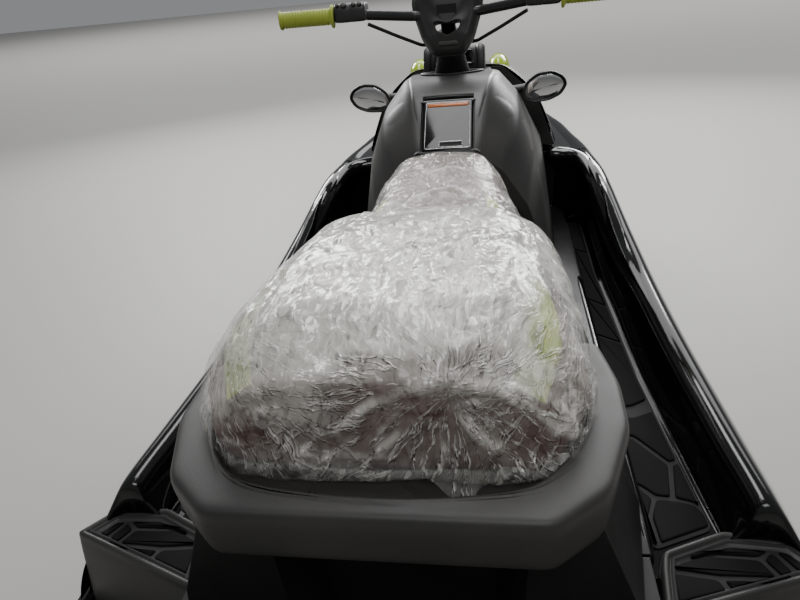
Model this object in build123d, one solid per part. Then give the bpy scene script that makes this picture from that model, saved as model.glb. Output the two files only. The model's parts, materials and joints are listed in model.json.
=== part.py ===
from build123d import *
import math
import os

# Personal watercraft, in millimetres.
# Origin on the centreline at the waterline, amidships. +Y to the bow, +X to starboard, +Z up.
# Sections are half outlines, mirrored about the centreline. Pairs are drawn on the right.

os.makedirs("parts", exist_ok=True)

# Hull and deck
BOW_TIP_Y = 1790.0
FLOOR_Z = 224.0
PLINTH_Z = 262.0
PLINTH_HALF = 292.0
LEDGE_Z = 100.0
SEAM = 0.3
RUN_FIT = 0.05

# Beyond the whole craft, for cutters that run past it
BELOW_Z = -300.0
ABOVE_Z = 700.0
BEHIND_Y = -1400.0
BESIDE_X = 640.0

# Shape of hull and deck on shared stations.
# y, chine half width, chine z, keel z, flange half width, flange z,
#    shoulder half width, shoulder z, ridge half width, ridge z, crown z
SHELL = [
    (-1250, 470, -60, -236, 535, 90, 515, 190, 455, 290, 296),
    (-750, 480, -64, -240, 545, 98, 505, 200, 430, 300, 306),
    (-250, 470, -60, -240, 520, 104, 462, 232, 403, 328, 334),
    (150, 458, -48, -239, 510, 111, 440, 272, 360, 424, 434),
    (750, 396, -10, -222, 480, 142, 380, 318, 288, 428, 450),
    (1200, 285, 55, -165, 402, 196, 292, 334, 206, 402, 428),
    (1530, 150, 140, -40, 258, 252, 180, 336, 116, 370, 388),
    (1745, 40, 225, 130, 80, 298, 60, 326, 36, 344, 352),
]
SHELL_STATIONS = 17
SHOULDER_ROUND = 30.0
RIDGE_ROUND = 14.0

# Cockpit trough: y, half width at the floor, half width at mid height, half width at the rim
TROUGH = [
    (336, 262, 266, 272),
    (296, 350, 354, 360),
    (-50, 348, 356, 372),
    (-500, 368, 408, 420),
    (-870, 402, 440, 452),
    (-1300, 415, 455, 468),
]
TROUGH_MID_Z = 302.0
TROUGH_RIM_Z = 520.0

# Rub rail on the seam, and the bumper at the stem
RAIL_HALF_HEIGHT = 17.0
RAIL_STAND = 10.0
RAIL_LAP = 14.0
BUMPER_Z = (268.0, 336.0)

# Stern: slanted front edge shared by the deck and the corner mouldings, as x, y
STERN_EDGE = [(305, -930), (312, -900), (395, -862), (479, -868), (519, -918)]
CORNER_TOP_TIP = (296, -999)
CORNER_FOOT = [(522, -940), (296, -1060)]
CORNER_RISE = 14.0
CORNER_MAT = [(322, -908), (398, -874), (472, -880), (500, -916), (306, -984)]
MAT_SINK = 5.0
PLATFORM_THICK = 26.0
PLATFORM = [(0, -1064), (290, -1064), (440, -1000), (500, -1120), (430, -1290), (340, -1350), (0, -1350)]
PLATFORM_MAT = [
    (0, -1090), (300, -1090), (420, -1040), (462, -1124), (404, -1270), (326, -1330), (0, -1330)
]
FOOTWELL_MAT = [
    (300, 288), (330, 286), (342, 260), (340, -50), (358, -500), (390, -850), (308, -888), (300, -860)
]
MAT_THICK = 6.0

# Pump line
INTAKE_Y = (-560.0, -840.0)
INTAKE_LOW_Z = -260.0
PUMP_Z = -115.0
PUMP_FRONT_Y = -930.0
PUMP_BORE_R = 78.0
PUMP_WALL = 9.0
PUMP_CONE_Y = (-1068.0, -1116.0)
SPOUT_END_Y = -1164.0
SPOUT_R = 44.0
SPOUT_WALL = 8.0
FLANGE_R = 98.0
HUB_R = 24.0
VANES = 6
VANE_THICK = 3.0
VANE_END_Y = -1066.0
TAIL_CONE = 58.0
SHAFT_R = 12.0
BLADES = 4
BLADE_THICK = 4.0
# radius, chord, angle from straight aft, at root and tip of a blade
BLADE = [(HUB_R - 4, 64, 38), (PUMP_BORE_R + 2, 84, 62)]
BLADE_TIP_GAP = 1.5
IMPELLER_Y = (-1018.0, -948.0)
TUNNEL_HALF = 136.0
TUNNEL_ROOF_Z = 50.0
TUNNEL_STEP_Y = -1050.0
NOZZLE_PIVOT_Y = SPOUT_END_Y + 6
NOZZLE_END_Y = SPOUT_END_Y - 74
NOZZLE_LAP = 5.0
NOZZLE_FRONT_R = 64.0
NOZZLE_END_R = 46.0
NOZZLE_WALL = 6.0
PIVOT_PIN_R = 6.0
TAB_Z = (74.0, 82.0)
BUCKET_PIVOT_Y = SPOUT_END_Y + 50
BUCKET_R = 145.0
BUCKET_WALL = 7.0
BUCKET_HALF = 111.0
BUCKET_SPAN = (40.0, 110.0)
TRUNNION_END = 98.0
TRUNNION_R = 10.0
EAR_HALF = 14.0
BOSS_R = 12.0
STEERING_ARM_X = 84.0
BUCKET_EYE_R = 18.0

# Under the hull
RIDE_PLATE_END_Y = -1246.0
RIDE_PLATE_THICK = 8.0
GRATE_Y = (-846.0, -622.0)
GRATE_HALF = 70.0
GRATE_CROSS = 18.0
GRATE_PITCH = 44.0
GRATE_TOP_Z = -212.0
# y, reach, low z, high z of the sponsons
SPONSON = [(-1180, 524, -64, -30), (-900, 532, -70, -26), (-560, 500, -52, -36)]
SPONSON_ROOT = 440.0
TOW_EYES = [(0, 1746, 218), (-260, -1251, 20), (260, -1251, 20)]
TOW_EYE_R = 17.0
TOW_WIRE_R = 5.0

# Engine block in its pit
ENGINE_HALF = 150.0
ENGINE_Y = (-470.0, 60.0)
ENGINE_Z = (-150.0, 300.0)
PIT_GAP = 14.0

# Pedestal under the saddle: y, base half width, top half width, top z
PEDESTAL = [
    (-165.3, 240, 150, 446),
    (-400, 262, 140, 455),
    (-640, 280, 160, 464),
    (-644, 280, 160, 478),
    (-900, 286, 206, 478),
    (-1058, 262, 196, 478),
]
PEDESTAL_KNEE = 60.0
REAR_PANEL = [(0, 150), (124, 150), (138, 440), (0, 440)]
REAR_PANEL_BACK = [(0, 184), (96, 184), (108, 414), (0, 414)]
REAR_PANEL_DEEP = 60.0

# Tail moulding behind the saddle
TAIL_Z = (478.0, 530.0)
TRAY_Z = 506.0
TAIL_BEVEL = 10.0
TAIL_MID_Y = -850.0
TAIL_OUTER = [(0, -1130), (156, -1130), (204, -1088), (234, -1000), (236, -930), (226, -850), (0, -850)]
TAIL_INNER = [(0, -1110), (140, -1107), (176, -1070), (204, -990), (206, -930), (206, -840), (0, -840)]
TONGUE_HALF = 150.0

# Saddle: y, lower half width, side half width, side z, top half width, top z
DRIVER_SEAT = [
    (-184, 76, 84, 520, 52, 566),
    (-260, 100, 104, 525, 74, 590),
    (-420, 126, 124, 515, 88, 572),
    (-540, 134, 132, 512, 98, 566),
    (-640, 148, 150, 522, 112, 584),
]
PASSENGER_SEAT = [
    (-646, 156, 156, 560, 116, 606),
    (-700, 172, 172, 570, 130, 634),
    (-860, 196, 198, 575, 156, 640),
    (-980, 196, 198, 575, 158, 632),
    (-1052, 160, 164, 565, 130, 606),
]
FILM_GAP = 2.0
FILM_THICK = 1.5

# Console ahead of the saddle:
# y, base half width, waist half width, waist z, shoulder half width, shoulder z, top half width, top z
CONSOLE = [
    (-165, 238, 172, 450, 120, 530, 62, 574),
    (-70, 242, 188, 520, 150, 606, 84, 645),
    (0, 246, 198, 530, 158, 630, 98, 684),
    (60, 250, 206, 520, 156, 640, 108, 694),
    (150, 254, 216, 500, 158, 634, 112, 688),
    (328, 258, 226, 480, 160, 612, 100, 668),
]
LID_WIDTH = 112.0
LID_LENGTH = 148.0
LID_THICK = 10.0
LID_CENTRE = (0.0, -100.0, 622.0)
LID_SLOPE = 36.3
LID_GAP = 3.0
LID_PIN_R = 3.0
POCKET_DEEP = 110.0

# Instruments and mirrors
POD_HALF = 78.0
POD_PROFILE = [(192, 660), (192, 690), (214, 738), (236, 742), (324, 690), (324, 640)]
MIRROR_CENTRE = (226.0, 215.0, 633.0)
MIRROR_HALF = (60.0, 39.0)
MIRROR_LEAF = [(-1, -0.35), (-0.55, 0.75), (0.25, 1), (1, 0.2), (0.55, -0.7), (-0.4, -1)]
MIRROR_DEEP = 44.0
MIRROR_ARM_R = 13.0
GLASS_THICK = 3.0

# Steering
COLUMN_TILT = 25.0
COLUMN_FOOT = (0.0, 128.0, 690.0)
COLUMN_R = 17.0
COLUMN_TOP = 152.0
COLUMN_SINK = 90.0
NECK_RECESS_R = 46.0
NECK_RECESS_DEEP = 14.0
BOOT_R = 31.0
BOOT_REACH = (2.0, 108.0)
CLAMP = (44.0, 40.0, 40.0)
BAR_R = 11.0
BAR_CENTRE = (58.0, 834.0)
BAR_PATH = [(366, -26, 854), (200, -3, 852), (76, 58, 834)]
GRIP_R = 17.0
GRIP_X = (250.0, 370.0)
GRIP_FLANGE = 6.0
SWITCH_X = (172.0, 244.0)
SWITCH_Y = (-28.0, 32.0)
SWITCH_Z = (834.0, 876.0)
LEVER_R = 4.5
LEVER = [(236, 24, 848), (254, 42, 846), (314, 40, 845), (340, 30, 845)]
SLIP = 0.2
CABLE_R = 4.0
CABLE = [(176, 16, 829), (120, 46, 798), (66, 74, 770), (31, 92, 764)]
PAD_CENTRE = (0.0, 62.0, 822.0)
PAD_TILT = 76.0
PAD_THICK = 56.0
PAD = [(0, -80), (38, -80), (66, -38), (82, 26), (80, 60), (56, 76), (0, 76)]
PAD_NOTCH = [(30, -12), (-30, -12), (0, -44)]

# Hood: y, base half width, waist half width, waist z, top half width, top z
HOOD = [
    (336, 266, 214, 590, 122, 672),
    (600, 272, 210, 566, 112, 640),
    (1000, 222, 166, 506, 84, 560),
    (1300, 158, 112, 448, 54, 486),
    (1440, 104, 72, 414, 34, 436),
]
HOOD_SEAT_Z = (448.0, 386.0)
HOOD_WALL = 22.0
HOOD_STATIONS = 7
HOOD_HINGE = (1456.0, 394.0)
HINGE_PIN_R = 5.0
HINGE_HALF = 62.0
LUG_HALF = 26.0
LUG_R = 9.0
BIN = (-160, 160, 520, 1040, 200, 500)


def save(name, shape):
    shape.label = name
    export_step(shape, f"parts/{name}.step")


def largest(shape):
    return max(shape.solids(), key=lambda s: s.volume)


def side_name(sign):
    return "right" if sign > 0 else "left"


def on_side(shape, sign):
    return shape if sign > 0 else mirror(shape, about=Plane.YZ)


def both_sides(half):
    """Closed outline from a right-hand half whose ends lie on the centreline."""
    return half + [(-a, b) for a, b in reversed(half) if a > 0]


def rounded(corners, radii):
    """Closed wire through 3-D corners, with a tangent arc at each corner that has a radius."""
    edges = []
    count = len(corners)
    starts = []
    for k in range(count):
        here = Vector(*corners[k])
        to_last = (Vector(*corners[k - 1]) - here).normalized()
        to_next = (Vector(*corners[(k + 1) % count]) - here).normalized()
        if not radii[k]:
            starts.append((here, None, here))
            continue
        half = math.radians(to_last.get_angle(to_next)) / 2
        reach = radii[k] / math.tan(half)
        middle = (to_last + to_next).normalized()
        crest = here + middle * (radii[k] / math.sin(half) - radii[k])
        starts.append((here + to_last * reach, crest, here + to_next * reach))
    for k in range(count):
        first, crest, second = starts[k]
        if crest:
            edges.append(ThreePointArc(first, crest, second))
        edges.append(Line(second, starts[(k + 1) % count][0]))
    return Wire(edges)


def station(y, half, radii=None):
    """Face in the cross plane at y from a half outline of x, z points, with a radius for each point."""
    outline = both_sides(half)
    if not radii:
        return make_face(Polyline(*[(x, y, z) for x, z in outline], close=True))
    doubled = radii + [r for (x, _), r in zip(reversed(half), reversed(radii)) if x > 0]
    return make_face(rounded([(x, y, z) for x, z in outline], doubled))


def flat(points, z):
    return make_face(Polyline(*[(x, y, z) for x, y in points], close=True))


def slab(points, low, high):
    return extrude(flat(points, low), amount=high - low, dir=(0, 0, 1))


def side_plate(points, half):
    """Prism across the craft from y, z points, reaching half to each side."""
    face = make_face(Polyline(*[(0, y, z) for y, z in points], close=True))
    return extrude(face, amount=half, dir=(1, 0, 0), both=True)


def block(x0, x1, y0, y1, z0, z1):
    return Pos((x0 + x1) / 2, (y0 + y1) / 2, (z0 + z1) / 2) * Box(x1 - x0, y1 - y0, z1 - z0)


def rod_x(x0, x1, radius, y, z):
    return Pos((x0 + x1) / 2, y, z) * Rot(0, 90, 0) * Cylinder(radius, abs(x1 - x0))


def rod_y(y0, y1, radius, x=0.0, z=PUMP_Z):
    return Pos(x, (y0 + y1) / 2, z) * Rot(90, 0, 0) * Cylinder(radius, abs(y1 - y0))


def rod_z(z0, z1, radius, x, y):
    return Pos(x, y, (z0 + z1) / 2) * Cylinder(radius, abs(z1 - z0))


def turned(profile):
    """Solid of revolution about the pump line from y, radius points."""
    face = make_face(Polyline(*[(0, y, PUMP_Z + r) for y, r in profile], close=True))
    return revolve(face, axis=Axis((0, 0, PUMP_Z), (0, 1, 0)))


def faired(table, count):
    """Rows at even steps along a station table, on monotone cubic curves through its rows."""
    table = sorted(table)
    places = [row[0] for row in table]
    columns = list(zip(*table))[1:]
    tangents = []
    for values in columns:
        slopes = [(b - a) / (q - p) for p, q, a, b in zip(places, places[1:], values, values[1:])]
        inner = [0 if s * t <= 0 else 2 * s * t / (s + t) for s, t in zip(slopes, slopes[1:])]
        tangents.append([slopes[0]] + inner + [slopes[-1]])
    rows = []
    for step in range(count):
        y = places[0] + (places[-1] - places[0]) * step / (count - 1)
        k = max(i for i in range(len(places) - 1) if places[i] <= y + 1e-6)
        gap = places[k + 1] - places[k]
        t = (y - places[k]) / gap
        row = [y]
        for values, tangent in zip(columns, tangents):
            start = (2 * t**3 - 3 * t**2 + 1) * values[k] + (t**3 - 2 * t**2 + t) * gap * tangent[k]
            end = (3 * t**2 - 2 * t**3) * values[k + 1] + (t**3 - t**2) * gap * tangent[k + 1]
            row.append(start + end)
        rows.append(tuple(row))
    return rows


def hull_loft():
    faces = []
    for y, chine, chine_z, keel_z, flange, flange_z, *_ in faired(SHELL, SHELL_STATIONS):
        faces.append(station(y, [(0, keel_z), (chine, chine_z), (flange, flange_z), (0, flange_z)]))
    return loft(faces)


def deck_loft():
    faces = []
    radii = [0, 0, SHOULDER_ROUND, RIDGE_ROUND, 0]
    for row in faired(SHELL, SHELL_STATIONS):
        y, _, _, _, flange, flange_z, shoulder, shoulder_z, ridge, ridge_z, crown_z = row
        low = flange_z + SEAM
        half = [(0, low), (flange, low), (shoulder, shoulder_z), (ridge, ridge_z), (0, crown_z)]
        faces.append(station(y, half, radii))
    return loft(faces)


def engine_pit():
    half = ENGINE_HALF + PIT_GAP
    top = ENGINE_Z[1] + PIT_GAP
    return block(-half, half, ENGINE_Y[0] - PIT_GAP, ENGINE_Y[1] + PIT_GAP, ENGINE_Z[0], top)


def intake_duct():
    top = PUMP_Z + PUMP_BORE_R
    low = PUMP_Z - PUMP_BORE_R
    rear = PUMP_FRONT_Y - 1
    outline = [(INTAKE_Y[0], INTAKE_LOW_Z), (rear, top), (rear, low), (INTAKE_Y[1], INTAKE_LOW_Z)]
    return side_plate(outline, PUMP_BORE_R - 2)


def pump_tunnel():
    over_pump = PUMP_Z + FLANGE_R + 4
    front = block(-TUNNEL_HALF, TUNNEL_HALF, TUNNEL_STEP_Y - 10, PUMP_FRONT_Y, BELOW_Z, over_pump)
    rear = block(-TUNNEL_HALF, TUNNEL_HALF, BEHIND_Y, TUNNEL_STEP_Y, BELOW_Z, TUNNEL_ROOF_Z)
    return front + rear


def make_hull():
    body = hull_loft()
    body -= pump_tunnel()
    body -= intake_duct()
    body -= engine_pit()
    body -= rod_y(PUMP_FRONT_Y - 30, ENGINE_Y[0], SHAFT_R + RUN_FIT)
    return body


def trough():
    """Both footwells and the space between them, open at the stern."""
    levels = []
    for column, z in ((1, FLOOR_Z), (2, TROUGH_MID_Z), (3, TROUGH_RIM_Z)):
        half = [(0, TROUGH[0][0])]
        half += [(row[column], row[0]) for row in TROUGH]
        half += [(0, TROUGH[-1][0])]
        levels.append(flat(both_sides(half), z))
    return loft(levels[:2], ruled=True) + loft(levels[1:], ruled=True)


def hood_seat_z(y):
    share = (y - HOOD[0][0]) / (HOOD[-1][0] - HOOD[0][0])
    return HOOD_SEAT_Z[0] + share * (HOOD_SEAT_Z[1] - HOOD_SEAT_Z[0])


def hood_recess():
    """Flat seat for the hood, let into the bow deck, with a slot for its hinge."""
    rear = HOOD[0][0] - 40
    front = HOOD[-1][0] + LID_GAP
    half = [(0, rear), (HOOD[0][1] + LID_GAP, rear)]
    half += [(row[1] + LID_GAP, row[0]) for row in faired(HOOD, 4 * HOOD_STATIONS)]
    half += [(HOOD[-1][1] + LID_GAP, front), (0, front)]
    prism = slab(both_sides(half), FLOOR_Z, ABOVE_Z)
    seat = [(rear, hood_seat_z(rear)), (front, hood_seat_z(front)), (front, ABOVE_Z), (rear, ABOVE_Z)]
    wedge = side_plate(seat, BESIDE_X)
    slot_half = HINGE_HALF + 6
    slot_y = (HOOD[-1][0] - 6, HOOD_HINGE[0] + 14)
    slot = block(-slot_half, slot_half, *slot_y, HOOD_HINGE[1] - 14, ABOVE_Z)
    return (prism & wedge) + slot


def stern_cut():
    """What is taken off the deck behind the slanted front edge of the stern corners."""
    half = [(0, PUMP_FRONT_Y)] + STERN_EDGE + [(BESIDE_X, -960), (BESIDE_X, BEHIND_Y), (0, BEHIND_Y)]
    return slab(both_sides(half), LEDGE_Z, ABOVE_Z)


def make_deck():
    body = deck_loft()
    body -= trough()
    front, step = TROUGH[0][0], TROUGH[1][0]
    rear = PUMP_FRONT_Y + 5
    kerb = [(0, front), (PLINTH_HALF - 30, front), (PLINTH_HALF, step), (PLINTH_HALF, rear), (0, rear)]
    body += slab(both_sides(kerb), FLOOR_Z - 2, PLINTH_Z)
    body -= stern_cut()
    body -= hood_recess()
    body -= block(*BIN)
    body -= engine_pit()
    return largest(body)


def make_engine():
    return block(-ENGINE_HALF, ENGINE_HALF, *ENGINE_Y, *ENGINE_Z)


def make_rub_rail(hull, deck):
    """Rubber strip over the seam between hull and deck, one on each side."""
    faces = []
    for y, _, _, _, flange, flange_z, *_ in faired(SHELL, SHELL_STATIONS)[:-1]:
        low = flange_z - RAIL_HALF_HEIGHT
        high = flange_z + RAIL_HALF_HEIGHT
        inner = flange - RAIL_LAP
        outer = flange + RAIL_STAND
        outline = [(inner, y, low), (outer, y, low + 4), (outer, y, high - 4), (inner, y, high)]
        faces.append(make_face(Polyline(*outline, close=True)))
    rail = largest(loft(faces) - hull - deck)
    return Compound(children=[rail, mirror(rail, about=Plane.YZ)])


def make_bow_bumper(hull, deck, rail):
    half = [(0, 1700), (212, 1560), (120, 1740), (60, BOW_TIP_Y), (0, BOW_TIP_Y)]
    return largest(slab(both_sides(half), *BUMPER_Z) - hull - deck - rail)


def make_stern_corner(sign):
    """Corner moulding with a slanted rear face, and the mat let into its top."""
    top_z = FLOOR_Z + CORNER_RISE
    top = flat(STERN_EDGE + [CORNER_TOP_TIP], top_z)
    foot = flat(STERN_EDGE[:-1] + CORNER_FOOT, LEDGE_Z + SEAM)
    body = loft([foot, top], ruled=True)
    body -= slab(CORNER_MAT, top_z - MAT_SINK, top_z + 20)
    return on_side(body, sign)


def make_stern_mat(sign):
    top_z = FLOOR_Z + CORNER_RISE
    return on_side(slab(CORNER_MAT, top_z - MAT_SINK, top_z + 1), sign)


def make_footwell_mat(sign):
    return on_side(slab(FOOTWELL_MAT, FLOOR_Z, FLOOR_Z + MAT_THICK), sign)


def make_platform():
    return slab(both_sides(PLATFORM), LEDGE_Z + SEAM, LEDGE_Z + PLATFORM_THICK)


def make_platform_mat():
    low = LEDGE_Z + PLATFORM_THICK
    return slab(both_sides(PLATFORM_MAT), low, low + MAT_THICK)


def make_pedestal():
    faces = []
    for y, base, top, top_z in PEDESTAL:
        knee = (base - 8, PLINTH_Z + PEDESTAL_KNEE)
        half = [(0, PLINTH_Z), (base, PLINTH_Z), knee, (top, top_z), (0, top_z)]
        faces.append(station(y, half))
    body = loft(faces, ruled=True)
    rear = PEDESTAL[-1][0]
    foot = PLINTH_HALF - 2
    body += block(-foot, foot, rear, PUMP_FRONT_Y - SEAM, LEDGE_Z + SEAM, PLINTH_Z)
    body -= loft([station(rear, REAR_PANEL), station(rear + REAR_PANEL_DEEP, REAR_PANEL_BACK)], ruled=True)
    body -= engine_pit()
    return body


def make_tail():
    """Grab handle behind the saddle: a thick bevelled moulding with a shallow tray."""
    low, high = TAIL_Z[0] + SEAM, TAIL_Z[1]
    levels = []
    for draw, z in ((0.955, low), (0.985, low + TAIL_BEVEL), (1.0, high - TAIL_BEVEL), (0.985, high)):
        outline = [(x * draw, TAIL_MID_Y + (y - TAIL_MID_Y) * draw) for x, y in TAIL_OUTER]
        levels.append(flat(both_sides(outline), z))
    body = loft(levels, ruled=True)
    body -= slab(both_sides(TAIL_INNER), TRAY_Z, TAIL_Z[1] + 20)
    body += block(-TONGUE_HALF, TONGUE_HALF, TAIL_OUTER[-1][1] - 2, PASSENGER_SEAT[0][0], low, TRAY_Z)
    return body


def seat_faces(table, base, grow=0.0):
    """Sections of a seat, from the height of its base as a function of y, grown outward by grow."""
    faces = []
    rows = faired(table, len(table) + 1)
    for row in rows:
        y, low, side, side_z, top, top_z = row
        half = [
            (0, base(y)),
            (low + grow, base(y)),
            (side + grow, side_z),
            (top + grow * 0.7, top_z + grow),
            (0, top_z + grow + 4),
        ]
        end = (row is rows[-1]) - (row is rows[0])
        faces.append(station(y + end * grow, half, [0, 0, 24, 16, 0]))
    return faces


def driver_base(y):
    share = (y - PEDESTAL[0][0]) / (PEDESTAL[2][0] - PEDESTAL[0][0])
    return PEDESTAL[0][3] + share * (PEDESTAL[2][3] - PEDESTAL[0][3]) + SEAM


def passenger_base(y):
    return TRAY_Z + SEAM


def make_driver_seat():
    return loft(seat_faces(DRIVER_SEAT, driver_base))


def make_passenger_seat():
    return loft(seat_faces(PASSENGER_SEAT, passenger_base))


def make_console(arms):
    faces = []
    for y, base, waist, waist_z, shoulder, shoulder_z, top, top_z in faired(CONSOLE, 8):
        low = PLINTH_Z + SEAM
        side = [(base, low), (waist, waist_z), (shoulder, shoulder_z), (top, top_z)]
        faces.append(station(y, [(0, low)] + side + [(0, top_z + 4)], [0, 0, 60, 40, 30, 0]))
    body = loft(faces)
    body -= lid_recess()
    body -= lid_pocket()
    body -= engine_pit()
    body -= along_column(-COLUMN_SINK - 1, COLUMN_TOP, COLUMN_R + RUN_FIT)
    body -= along_column(-NECK_RECESS_DEEP, COLUMN_TOP, NECK_RECESS_R)
    body -= arms
    return largest(body)


def lid_place():
    return Pos(*LID_CENTRE) * Rot(LID_SLOPE, 0, 0)


def lid_hinge_at():
    """Local y and z of the hinge line at the upper edge of the lid."""
    return LID_LENGTH / 2 - LID_THICK / 2, -LID_THICK / 2


def lid_recess():
    y, z = lid_hinge_at()
    hollow = Pos(0, 0, 30 - LID_THICK - SEAM) * Box(LID_WIDTH + 2 * LID_GAP, LID_LENGTH + 2 * LID_GAP, 60)
    holes = rod_x(-LID_WIDTH / 2 - 10, LID_WIDTH / 2 + 10, LID_PIN_R + RUN_FIT, y, z)
    return lid_place() * (hollow + holes)


def lid_pocket():
    return lid_place() * Pos(0, -8, -POCKET_DEEP / 2) * Box(LID_WIDTH - 24, LID_LENGTH - 40, POCKET_DEEP)


def make_lid():
    """Glovebox lid: a slab with a round upper edge and a pin at each side of it."""
    y, z = lid_hinge_at()
    plate = Pos(0, -LID_THICK / 4, z) * Box(LID_WIDTH, LID_LENGTH - LID_THICK / 2, LID_THICK)
    edge = rod_x(-LID_WIDTH / 2, LID_WIDTH / 2, LID_THICK / 2, y, z)
    pins = rod_x(-LID_WIDTH / 2 - 9, LID_WIDTH / 2 + 9, LID_PIN_R, y, z)
    return lid_place() * (plate + edge + pins)


def along_column(start, end, radius):
    foot = Pos(*COLUMN_FOOT) * Rot(COLUMN_TILT, 0, 0)
    return foot * Pos(0, 0, (start + end) / 2) * Cylinder(radius, end - start)


def bar_points():
    right = BAR_PATH
    return [(-x, y, z) for x, y, z in right] + [p for p in reversed(right)]


def bar_tube(radius):
    path = FilletPolyline(*bar_points(), radius=34)
    return sweep(Plane(origin=path @ 0, z_dir=path % 0) * Circle(radius), path=path)


def make_column():
    """Steering shaft in its bush, with the boot round the neck and the clamp under the bar."""
    shaft = along_column(-COLUMN_SINK, COLUMN_TOP, COLUMN_R)
    boot = along_column(*BOOT_REACH, BOOT_R)
    clamp = Pos(0, *BAR_CENTRE) * Box(*CLAMP)
    return shaft + boot + clamp - bar_tube(BAR_R + SLIP)


def grip_place():
    """Frame on the outer stretch of the right bar, z outboard along the tube."""
    outer = Vector(*BAR_PATH[0])
    inner = Vector(*BAR_PATH[1])
    return Plane(origin=inner, x_dir=(0, 1, 0), z_dir=(outer - inner).normalized())


def ring_on_bar(x0, x1, radius):
    start = x0 - BAR_PATH[1][0]
    end = x1 - BAR_PATH[1][0]
    ring = Cylinder(radius, end - start) - Cylinder(BAR_R + SLIP, end - start)
    return grip_place() * Pos(0, 0, (start + end) / 2) * ring


def make_grip(sign):
    x0, x1 = GRIP_X
    body = ring_on_bar(x0 + GRIP_FLANGE, x1, GRIP_R)
    body += ring_on_bar(x0, x0 + GRIP_FLANGE, GRIP_R + 7)
    body += ring_on_bar(x1 - GRIP_FLANGE, x1, GRIP_R + 3)
    return on_side(body, sign)


def make_switch(sign):
    """Switch housing with its lever ahead of the grip."""
    body = block(*SWITCH_X, *SWITCH_Y, *SWITCH_Z) - bar_tube(BAR_R + SLIP)
    lever = FilletPolyline(*LEVER, radius=12)
    body += sweep(Plane(origin=lever @ 0, z_dir=lever % 0) * Circle(LEVER_R), path=lever)
    return on_side(largest(body), sign)


def make_cable(sign, keep_out):
    path = FilletPolyline(*CABLE, radius=40)
    tube = sweep(Plane(origin=path @ 0, z_dir=path % 0) * Circle(CABLE_R), path=path)
    return on_side(largest(tube - keep_out), sign)


def pad_place():
    return Pos(*PAD_CENTRE) * Rot(PAD_TILT, 0, 0)


def make_pad(column):
    body = extrude(make_face(Polyline(*both_sides(PAD), close=True)), amount=PAD_THICK / 2, both=True)
    notch = extrude(make_face(Polyline(*PAD_NOTCH, close=True)), amount=PAD_THICK, both=True)
    return largest(pad_place() * (body - notch) - bar_tube(BAR_R + SLIP) - column)


def make_pod(console):
    """Instrument pod ahead of the column, its screen facing the rider."""
    return largest(side_plate(POD_PROFILE, POD_HALF) - console)


def mirror_arm(sign, radius):
    x, y, z = MIRROR_CENTRE
    return on_side(rod_x(x - MIRROR_HALF[0] - 30, x - 20, radius, y, z), sign)


def mirror_outline(scale):
    """Leaf-shaped outline of a mirror, pointed outboard and blunt inboard."""
    a, b = MIRROR_HALF
    return [(a * x * scale, b * z * scale) for x, z in MIRROR_LEAF]


def make_mirror(sign):
    x, y, z = MIRROR_CENTRE
    faces = []
    for depth, scale in ((0, 1.0), (18, 0.98), (MIRROR_DEEP, 0.55)):
        outline = [(x + a, y - 16 + depth, z + b) for a, b in mirror_outline(scale)]
        faces.append(make_face(Polyline(*outline, close=True)))
    body = loft(faces, ruled=True) + mirror_arm(1, MIRROR_ARM_R)
    glass = mirror_glass(GLASS_THICK + SEAM, 0.9)
    return on_side(body - glass, sign)


def mirror_glass(thick, scale):
    x, y, z = MIRROR_CENTRE
    outline = [(x + a, y - 16, z + b) for a, b in mirror_outline(scale)]
    return extrude(make_face(Polyline(*outline, close=True)), amount=thick, dir=(0, 1, 0))


def make_mirror_glass(sign):
    return on_side(mirror_glass(GLASS_THICK, 0.89), sign)


def hood_faces():
    faces = []
    for y, base, waist, waist_z, top, top_z in faired(HOOD, HOOD_STATIONS):
        low = hood_seat_z(y) + 2 * SEAM
        faces.append(station(y, [(0, low), (base, low), (waist, waist_z), (top, top_z), (0, top_z + 4)]))
    return faces


def make_hood():
    body = loft(hood_faces())
    hollow = []
    for y, base, waist, waist_z, top, top_z in faired(HOOD, HOOD_STATIONS)[:-1]:
        low = hood_seat_z(y) - 10
        at = max(y, HOOD[0][0] + HOOD_WALL)
        half = [
            (0, low),
            (base - HOOD_WALL, low),
            (waist - HOOD_WALL, waist_z - HOOD_WALL),
            (top - HOOD_WALL / 2, top_z - HOOD_WALL),
            (0, top_z - HOOD_WALL),
        ]
        hollow.append(station(at, half))
    body -= loft(hollow, ruled=True)
    y, z = HOOD_HINGE
    lug = rod_x(-LUG_HALF, LUG_HALF, LUG_R, y, z)
    lug += block(-LUG_HALF, LUG_HALF, HOOD[-1][0] - 20, y, z - 4, z + LUG_R)
    lug -= rod_x(-HINGE_HALF, HINGE_HALF, HINGE_PIN_R + RUN_FIT, y, z)
    return largest(body + lug)


def make_hood_hinge():
    """Pin of the hood with its two ears, in the slot of the deck."""
    y, z = HOOD_HINGE
    floor = z - 14 + SEAM
    body = rod_x(-HINGE_HALF, HINGE_HALF, HINGE_PIN_R, y, z)
    for x0, x1 in ((-HINGE_HALF, -32), (32, HINGE_HALF)):
        body += block(x0, x1, y - 9, y + 9, floor, z + 7)
    return body


def pump_outer():
    y0, y1 = PUMP_CONE_Y
    wide = PUMP_BORE_R + PUMP_WALL
    narrow = SPOUT_R + SPOUT_WALL
    front = PUMP_FRONT_Y - SEAM
    return turned(
        [(front, 0), (front, FLANGE_R), (front - 8, FLANGE_R), (front - 8, wide), (y0, wide), (y1, narrow),
         (SPOUT_END_Y, narrow), (SPOUT_END_Y, 0)]
    )


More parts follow.
